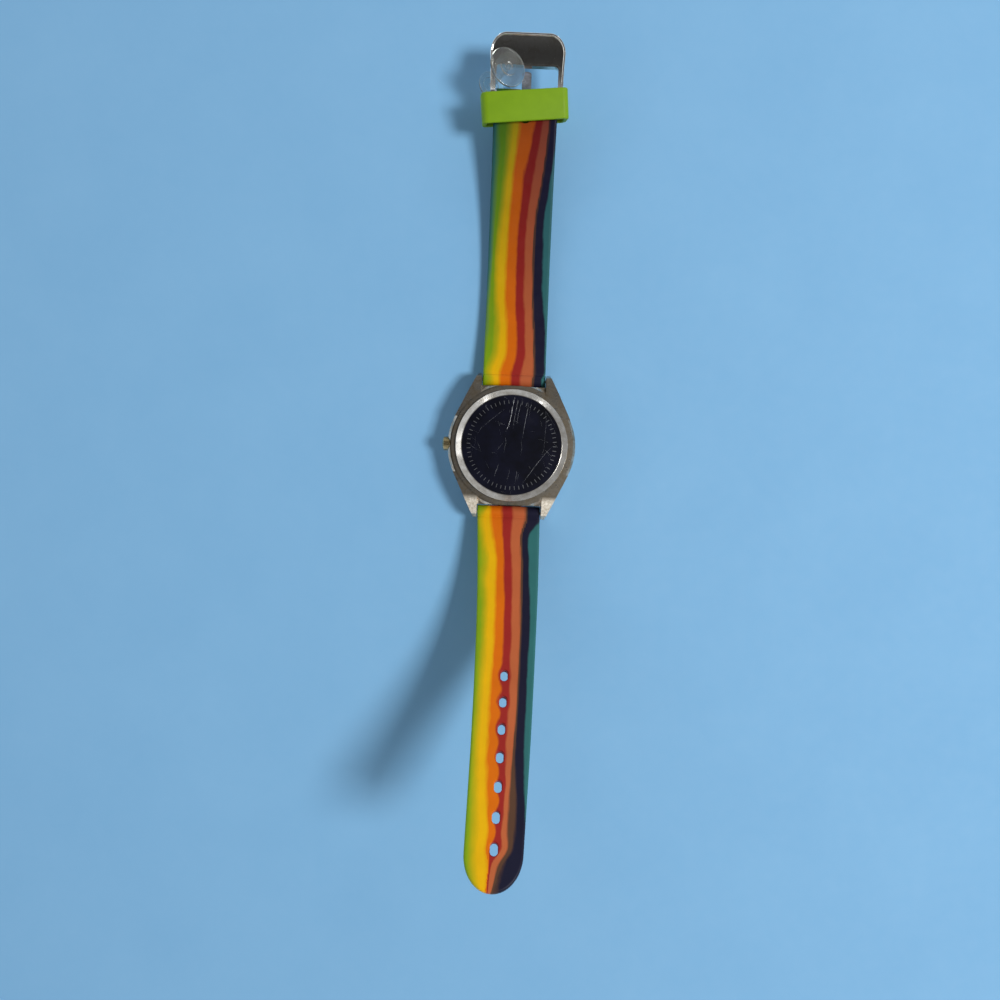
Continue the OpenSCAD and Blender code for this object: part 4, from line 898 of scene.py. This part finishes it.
def paint_stripes(piece, edges, place, width, bow, deep_and_shade, swell_and_shade):
    """Stores each point's place on the stripes' ramp, and how far its colour is darkened, partly by painted
    shade.
    """
    mesh = piece.data
    stripe = mesh.attributes.new("stripe", "FLOAT", "POINT")
    depth = mesh.attributes.new("deep_and_shade", "FLOAT", "POINT")
    stripes, deep_and_shade_values = [], []
    for vertex in mesh.vertices:
        x, y, z = vertex.co / MM
        s = place(y, z)
        share = 0.5 + (x - bow(s)) / width(s)
        stripes.append(stripe_at(edges, s, share, swell_and_shade(s)))
        deep_and_shade_values.append(float(np.interp(s, [0, UPPER_LEN], deep_and_shade)))
    stripe.data.foreach_set("value", stripes)
    depth.data.foreach_set("value", deep_and_shade_values)


SHARP_ANGLE = math.radians(42)


def finish_strap(piece, body, node):
    """Shades a strap smooth but for its sharp edges, and puts it in its node's place."""
    for polygon in piece.data.polygons:
        polygon.use_smooth = True
    piece.data.set_sharp_from_angle(angle=SHARP_ANGLE)
    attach(piece, body)
    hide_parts(node)


upper = strap_mesh("upper_strap", upper_path, upper_half, upper_side, straight, upper_stations, False, None)
cut(upper, slot_cutter())
cut(upper, bore_cutter(bar.y, bar.z))
cut(upper, bore_cutter(pin.y, pin.z))
paint_stripes(upper, UPPER_EDGES, upper_s, lambda s: STRAP_W, straight, UPPER_DEEP_AND_SHADE, straight)
finish_strap(upper, "strap_12", "buckle_strap")

lower = strap_mesh(
    "lower_strap", lower_path, lower_half, lower_side, lower_bow, lower_stations, True,
    (LOWER_LEN - 2 * TIP_LEN, LOWER_LEN))
for s in hole_places:
    cut(lower, hole_cutter(s))
cut(lower, bore_cutter(-bar.y, bar.z))
paint_stripes(
    lower, LOWER_EDGES, lambda y, z: lower_s(-y, z),
    lambda s: 2 * lower_side(min(s, LOWER_LEN - TIP_LEN), 0), lower_bow, LOWER_DEEP_AND_SHADE, swell)
finish_strap(lower, "strap_6", "hole_strap")


# Keeper

KEEPER_W = 21.6
KEEPER_H = 6.7
KEEPER_WALL = 1.1
KEEPER_LEN = 7
KEEPER_R = 1.6
KEEPER_SKEW = math.radians(6)
KEEPER_ROLL = math.radians(5)
KEEPER_EDGE = 0.32
KEEPER_SIDE = -0.2
KEEPER_STEPS = 10
KEEPER_EDGE_STEPS = 5


def keeper_loop():
    """A rounded loop: its wall's soft section carried round the outline."""
    low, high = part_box("keeper")
    middle = (low + high) / 2 / MM
    hub = joint_place("keeper_slide")
    tilt = math.atan2(middle.y - hub.y, hub.z - middle.z)
    middle.x += KEEPER_SIDE
    turn = Matrix.Translation(middle) @ Matrix.Rotation(tilt, 4, "X")
    turn = turn @ Matrix.Rotation(KEEPER_SKEW, 4, "Z") @ Matrix.Rotation(KEEPER_ROLL, 4, "Y")
    outline = []
    for cx, cz, start in ((1, 1, 0), (-1, 1, 1), (-1, -1, 2), (1, -1, 3)):
        centre = (cx * (KEEPER_W / 2 - KEEPER_R), cz * (KEEPER_H / 2 - KEEPER_R))
        for i in range(KEEPER_STEPS + 1):
            a = math.pi / 2 * (start + i / KEEPER_STEPS)
            outline.append((centre, (math.cos(a), math.sin(a))))
    wall = []
    for inner, front, start in ((0, 1, 0), (1, 1, 1), (1, 0, 2), (0, 0, 3)):
        for i in range(KEEPER_EDGE_STEPS + 1):
            a = math.pi / 2 * (start + i / KEEPER_EDGE_STEPS)
            wall.append((
                KEEPER_EDGE + inner * (KEEPER_WALL - 2 * KEEPER_EDGE) - KEEPER_EDGE * math.cos(a),
                (front - 0.5) * (KEEPER_LEN - 2 * KEEPER_EDGE) + KEEPER_EDGE * math.sin(a)))
    points, faces = [], []
    count = len(wall)
    for k, (centre, way) in enumerate(outline):
        for depth, along in wall:
            reach = KEEPER_R - depth
            points.append(turn @ Vector((centre[0] + reach * way[0], along, centre[1] + reach * way[1])))
        faces += joined(k * count, (k + 1) % len(outline) * count, count)
    made = new_piece("keeper_loop", points, faces, lime)
    cleaned(made)
    return made


keeper = keeper_loop()
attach(keeper, "keeper")
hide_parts("keeper")


# Springs of the spring bars

COIL_R = 0.36
COIL_WIRE_R = 0.09
COIL_TURNS = 5
COIL_STEPS = 16
COIL_SIDES = 6


def spring_half(strap, side, word):
    """Half of a bar's coil spring, from its middle to one tip."""
    node = "spring_" + strap
    low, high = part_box(node)
    middle = (low + high) / 2 / MM
    reach = (high.x - low.x) / 2 / MM
    points, faces = [], []
    rings = COIL_TURNS * COIL_STEPS
    for row in range(rings + 1):
        turn = TAU * row / COIL_STEPS
        along = COIL_WIRE_R + (reach - 2 * COIL_WIRE_R) * row / rings
        for i in range(COIL_SIDES):
            a = TAU * i / COIL_SIDES
            r = COIL_R + COIL_WIRE_R * math.cos(a)
            x = side * (along + COIL_WIRE_R * math.sin(a))
            points.append(middle + Vector((x, r * math.cos(turn), r * math.sin(turn))))
        if row:
            faces += joined((row - 1) * COIL_SIDES, row * COIL_SIDES, COIL_SIDES)
    faces += [tuple(range(COIL_SIDES)), tuple(range(len(points) - COIL_SIDES, len(points)))]
    made = new_piece(f"{node}_{word}", points, faces, steel)
    cleaned(made)
    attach(made, "case")
    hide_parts(node)
    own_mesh(made)


for strap in ("12", "6"):
    for side, word in ((-1, "left"), (1, "right")):
        spring_half(strap, side, word)


# Buckle, with the frame's sizes as in the CAD

FRAME_W = 17.9
PLATE_W = 18.6
WINDOW_LEN = 6.8
PLATE_LEN = 6.9
FRAME_T = 1.3
FRAME_R = 22
FRAME_START = math.radians(10)
FRAME_CORNER = 4
BEAD_R = 0.3
BEAD_IN = 0.22
BEAD_SINK = 0.17
BEAD_FROM = 1.6
BEAD_SIDES = 12
BEAD_ARM_STEPS = 12
BEAD_CORNER_STEPS = 16
# The bead's ends start at this share of its radius and reach all of it within so many steps.
BEAD_END_SHARE = 0.25
BEAD_END_STEPS = 4


def buckle_bead():
    """The frame's rounded upper edge, a polished bead that dies away towards the bar."""
    top_r = FRAME_R - FRAME_T / 2
    hub_y = pin.y + FRAME_R * math.sin(FRAME_START)
    hub_z = pin.z + FRAME_R * math.cos(FRAME_START)
    far_y = pin.y + WINDOW_LEN + PLATE_LEN - BEAD_IN
    near_y = pin.y + BEAD_FROM
    far_x = PLATE_W / 2 - BEAD_IN
    near_x = FRAME_W / 2 - BEAD_IN
    corner = FRAME_CORNER - BEAD_IN
    run = []
    for i in range(BEAD_ARM_STEPS):
        along = i / BEAD_ARM_STEPS
        run.append((near_x + (far_x - near_x) * along, near_y + (far_y - corner - near_y) * along))
    for i in range(BEAD_CORNER_STEPS + 1):
        a = math.pi / 2 * i / BEAD_CORNER_STEPS
        run.append((far_x - corner + corner * math.cos(a), far_y - corner + corner * math.sin(a)))
    run += [(-x, y) for x, y in reversed(run)]
    middle = []
    for x, y in run:
        drop = math.sqrt(top_r ** 2 - (y - hub_y) ** 2)
        inward = Vector((0, hub_y - y, drop)).normalized()
        middle.append((Vector((x, y, hub_z - drop)) - inward * BEAD_SINK, inward))
    points, faces = [], []
    for k, (at, inward) in enumerate(middle):
        way = (middle[min(k + 1, len(middle) - 1)][0] - middle[max(k - 1, 0)][0]).normalized()
        across = way.cross(inward).normalized()
        up = across.cross(way)
        radius = BEAD_R * min(1, BEAD_END_SHARE + min(k, len(middle) - 1 - k) / BEAD_END_STEPS)
        for i in range(BEAD_SIDES):
            a = TAU * i / BEAD_SIDES
            points.append(at + (across * math.cos(a) + up * math.sin(a)) * radius)
        if k:
            faces += joined((k - 1) * BEAD_SIDES, k * BEAD_SIDES, BEAD_SIDES)
    faces += [tuple(range(BEAD_SIDES)), tuple(range(len(points) - BEAD_SIDES, len(points)))]
    made = new_piece("buckle_bead", points, faces, chrome)
    cleaned(made)
    return made


bead = buckle_bead()
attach(bead, "buckle")


# Marks on the caseback and the dial

MINUTES = 60
HOUR_STEP = 5
TICK_TAPER = 0.7
TICK_SINK = 0.01
BACK_TICKS_FROM = 10.35
BACK_TICKS_TO = 11.25
BACK_TICK_W = 0.16
BACK_TICK_RISE = 0.025
TRACK_FROM = 11.6
TRACK_TO = 12.05
TRACK_W = 0.12
TRACK_RISE = 0.03


def ticks(name, near, far, width, base, rise, material, skip=0):
    """A ring of thin raised ticks, one for each minute; skip leaves out every so many."""
    points, faces = [], []
    for i in range(MINUTES):
        if skip and i % skip == 0:
            continue
        a = TAU * i / MINUTES
        out = Vector((math.sin(a), math.cos(a), 0))
        side = Vector((math.cos(a), -math.sin(a), 0))
        first = len(points)
        for z, shrink in ((base, 1), (base + rise, TICK_TAPER)):
            for r, w in ((near, -1), (near, 1), (far, 1), (far, -1)):
                points.append(out * r + side * (w * width / 2 * shrink) + Vector((0, 0, z)))
        for face in ((0, 1, 2, 3), (7, 6, 5, 4), (0, 4, 5, 1), (1, 5, 6, 2), (2, 6, 7, 3), (3, 7, 4, 0)):
            faces.append(tuple(first + v for v in face))
    made = new_piece(name, points, faces, material, rounded=False)
    cleaned(made, TICK_MERGE_GAP)
    return made


back_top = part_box("caseback")[1].z / MM
back_ring = ticks(
    "caseback_ticks", BACK_TICKS_FROM, BACK_TICKS_TO, BACK_TICK_W, back_top - TICK_SINK, BACK_TICK_RISE,
    engraved)
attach(back_ring, "case")
dial_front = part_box("dial")[0].z / MM
track = ticks(
    "minute_track", TRACK_FROM, TRACK_TO, TRACK_W, dial_front + TICK_SINK, -TRACK_RISE, ink, skip=HOUR_STEP)
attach(track, "case")


# Scratches as the photo shows them, each a run of pixels with a width in mm.
SCRATCHES = [
    (0.09, [(516, 395), (514, 401), (512, 411), (510, 421), (508, 427), (505, 433)]),
    (0.06, [(518, 396), (517, 406), (515, 416), (513, 429)]),
    (0.06, [(523, 397), (520, 407), (518, 416), (517, 425)]),
    (0.07, [(529, 398), (528, 408), (526, 418), (524, 429), (522, 440)]),
    (0.04, [(532, 400), (530, 411), (529, 418)]),
    (0.05, [(486, 402), (486, 410)]),
    (0.05, [(506, 408), (497, 415), (488, 422), (481, 428), (477, 435)]),
    (0.07, [(553, 446), (545, 454), (536, 465), (528, 476), (521, 485)]),
    (0.06, [(499, 463), (496, 471), (494, 477)]),
    (0.05, [(517, 470), (516, 477), (515, 484)]),
    (0.04, [(519, 472), (517, 481)]),
    (0.04, [(466, 440), (473, 447), (482, 452)]),
    (0.04, [(477, 441), (481, 451)]),
    (0.04, [(546, 412), (546, 425), (545, 436), (544, 449), (541, 458)]),
    (0.04, [(537, 439), (545, 441), (550, 444)]),
    (0.04, [(495, 421), (500, 423), (506, 425)]),
    (0.04, [(510, 468), (508, 477), (506, 482)]),
    (0.04, [(528, 464), (531, 470)]),
    (0.04, [(534, 473), (537, 477)]),
    (0.04, [(505, 436), (507, 445)]),
    (0.04, [(506, 440), (504, 453)]),
    (0.04, [(521, 440), (522, 448), (520, 456)]),
    (0.04, [(498, 420), (500, 427)]),
    (0.04, [(499, 491), (506, 493)]),
    (0.04, [(511, 490), (510, 496)]),
    (0.04, [(544, 409), (550, 418), (556, 428)])]
# Hairlines besides: their mean slope and its spread in radians, half their length, and their width.
HAIR_COUNT = 26
HAIR_FIELD = 0.93
HAIR_SLOPE = (1.9, 0.7)
HAIR_REACH = (0.5, 1.6)
HAIR_BEND = 0.12
HAIR_W = (0.025, 0.05)
SCRATCH_RISE = 0.014
SCRATCH_SINK = 0.006
SCRATCH_STEPS = 4
SCRATCH_MARGIN = 0.1
# A scratch thins to points that lie this share of a step past its ends.
POINT_LEAD = 0.15
POINT_POWER = 0.6


def hairline():
    """The width and the three points of one random hairline."""
    a = rng.uniform(0, TAU)
    r = BACK_FLAT_R * HAIR_FIELD * math.sqrt(rng.random())
    start = Vector((r * math.cos(a), r * math.sin(a), back_top))
    way = rng.gauss(*HAIR_SLOPE)
    step = Vector((math.cos(way), math.sin(way), 0)) * rng.uniform(*HAIR_REACH)
    bend = Vector((-step.y, step.x, 0)) * rng.uniform(-HAIR_BEND, HAIR_BEND)
    return rng.uniform(*HAIR_W), [start, start + step + bend, start + 2 * step]


def scratch_marks():
    """Raised burrs with pointed ends, lying on the caseback."""
    points, faces = [], []
    runs = [(width, [seen_at(*p, back_top) for p in run]) for width, run in SCRATCHES]
    runs += [hairline() for _ in range(HAIR_COUNT)]
    sink = Vector((0, 0, SCRATCH_SINK))
    for width, run in runs:
        line = []
        for a, b in zip(run, run[1:]):
            line += [a.lerp(b, i / SCRATCH_STEPS) for i in range(SCRATCH_STEPS)]
        line = [p for p in line + [run[-1]] if p.to_2d().length < BACK_FLAT_R - SCRATCH_MARGIN]
        if len(line) < 3:
            continue
        first = len(points)
        for i, p in enumerate(line):
            way = (line[min(i + 1, len(line) - 1)] - line[max(i - 1, 0)]).normalized()
            side = Vector((-way.y, way.x, 0))
            share = (i + POINT_LEAD) / (len(line) - 1 + 2 * POINT_LEAD)
            thin = math.sin(math.pi * share) ** POINT_POWER
            points += [
                p + side * (width / 2 * thin) - sink, p - side * (width / 2 * thin) - sink,
                p + Vector((0, 0, SCRATCH_RISE * thin))]
            if i:
                faces += joined(first + 3 * (i - 1), first + 3 * i, 3)
        faces.append((first, first + 1, first + 2))
        faces.append((len(points) - 3, len(points) - 2, len(points) - 1))
    made = new_piece("caseback_scratches", points, faces, scratch, rounded=False)
    cleaned(made, SCRATCH_MERGE_GAP)
    return made


marks = scratch_marks()
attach(marks, "case")


NUMBER_R = 9.35
NUMBER_H = 2.5
NUMBER_T = 0.02
HOURS = 12


def dial_numbers():
    """Plain numbers 1 to 12 printed on the dial, which faces the table."""
    merged = bmesh.new()
    for hour in range(1, HOURS + 1):
        curve = bpy.data.curves.new("number", "FONT")
        curve.body = str(hour)
        curve.align_x = curve.align_y = "CENTER"
        curve.size = NUMBER_H * MM
        curve.extrude = NUMBER_T / 2 * MM
        text = bpy.data.objects.new("number", curve)
        bpy.context.scene.collection.objects.link(text)
        graph = bpy.context.evaluated_depsgraph_get()
        mesh = bpy.data.meshes.new_from_object(text.evaluated_get(graph))
        a = TAU * hour / HOURS
        spot = Vector((-math.sin(a) * NUMBER_R, math.cos(a) * NUMBER_R, dial_front)) * MM
        mesh.transform(Matrix.Translation(spot) @ Matrix.Rotation(math.pi, 4, "Y"))
        merged.from_mesh(mesh)
        bpy.data.objects.remove(text)
        bpy.data.meshes.remove(mesh)
    made = new_piece("dial_numbers", [], [], ink)
    merged.to_mesh(made.data)
    merged.free()
    return made


numbers = dial_numbers()
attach(numbers, "case")


# Floor and sky

FLOOR_REACH = 3000
floor_corners = [(x * FLOOR_REACH, y * FLOOR_REACH, 0) for x, y in ((-1, -1), (1, -1), (1, 1), (-1, 1))]
floor = new_piece("floor", floor_corners, [(0, 1, 2, 3)], floor_finish())

# The sky's colour from the horizon to straight above, and its strength at -X and at +X.
SKY = [
    (0, (0.97, 1.0, 1.04)), (0.35, (0.61, 0.62, 0.64)), (0.7, (0.3, 0.3, 0.3)), (0.9, (0.08, 0.08, 0.08)),
    (1, (0.03, 0.03, 0.03))]
SKY_LEFT = 1.35
SKY_RIGHT = 0.65


def studio_sky():
    """A bright horizon under a dark ceiling, dimmer towards +X."""
    world = bpy.data.worlds.new("studio")
    bpy.context.scene.world = world
    world.use_nodes = True
    tree = world.node_tree
    tree.nodes.clear()
    direction = tree.nodes.new("ShaderNodeTexCoord")
    split = tree.nodes.new("ShaderNodeSeparateXYZ")
    rise = tree.nodes.new("ShaderNodeValToRGB")
    strength = tree.nodes.new("ShaderNodeMapRange")
    light = tree.nodes.new("ShaderNodeBackground")
    out = tree.nodes.new("ShaderNodeOutputWorld")
    while len(rise.color_ramp.elements) < len(SKY):
        rise.color_ramp.elements.new(1)
    for point, (at, colour) in zip(rise.color_ramp.elements, SKY):
        point.position = at
        point.color = (*colour, 1)
    for socket, value in zip(strength.inputs[1:], (-1, 1, SKY_LEFT, SKY_RIGHT)):
        socket.default_value = value
    tree.links.new(direction.outputs["Generated"], split.inputs[0])
    tree.links.new(split.outputs["Z"], rise.inputs[0])
    tree.links.new(split.outputs["X"], strength.inputs[0])
    tree.links.new(rise.outputs[0], light.inputs["Color"])
    tree.links.new(strength.outputs[0], light.inputs["Strength"])
    tree.links.new(light.outputs[0], out.inputs[0])


studio_sky()
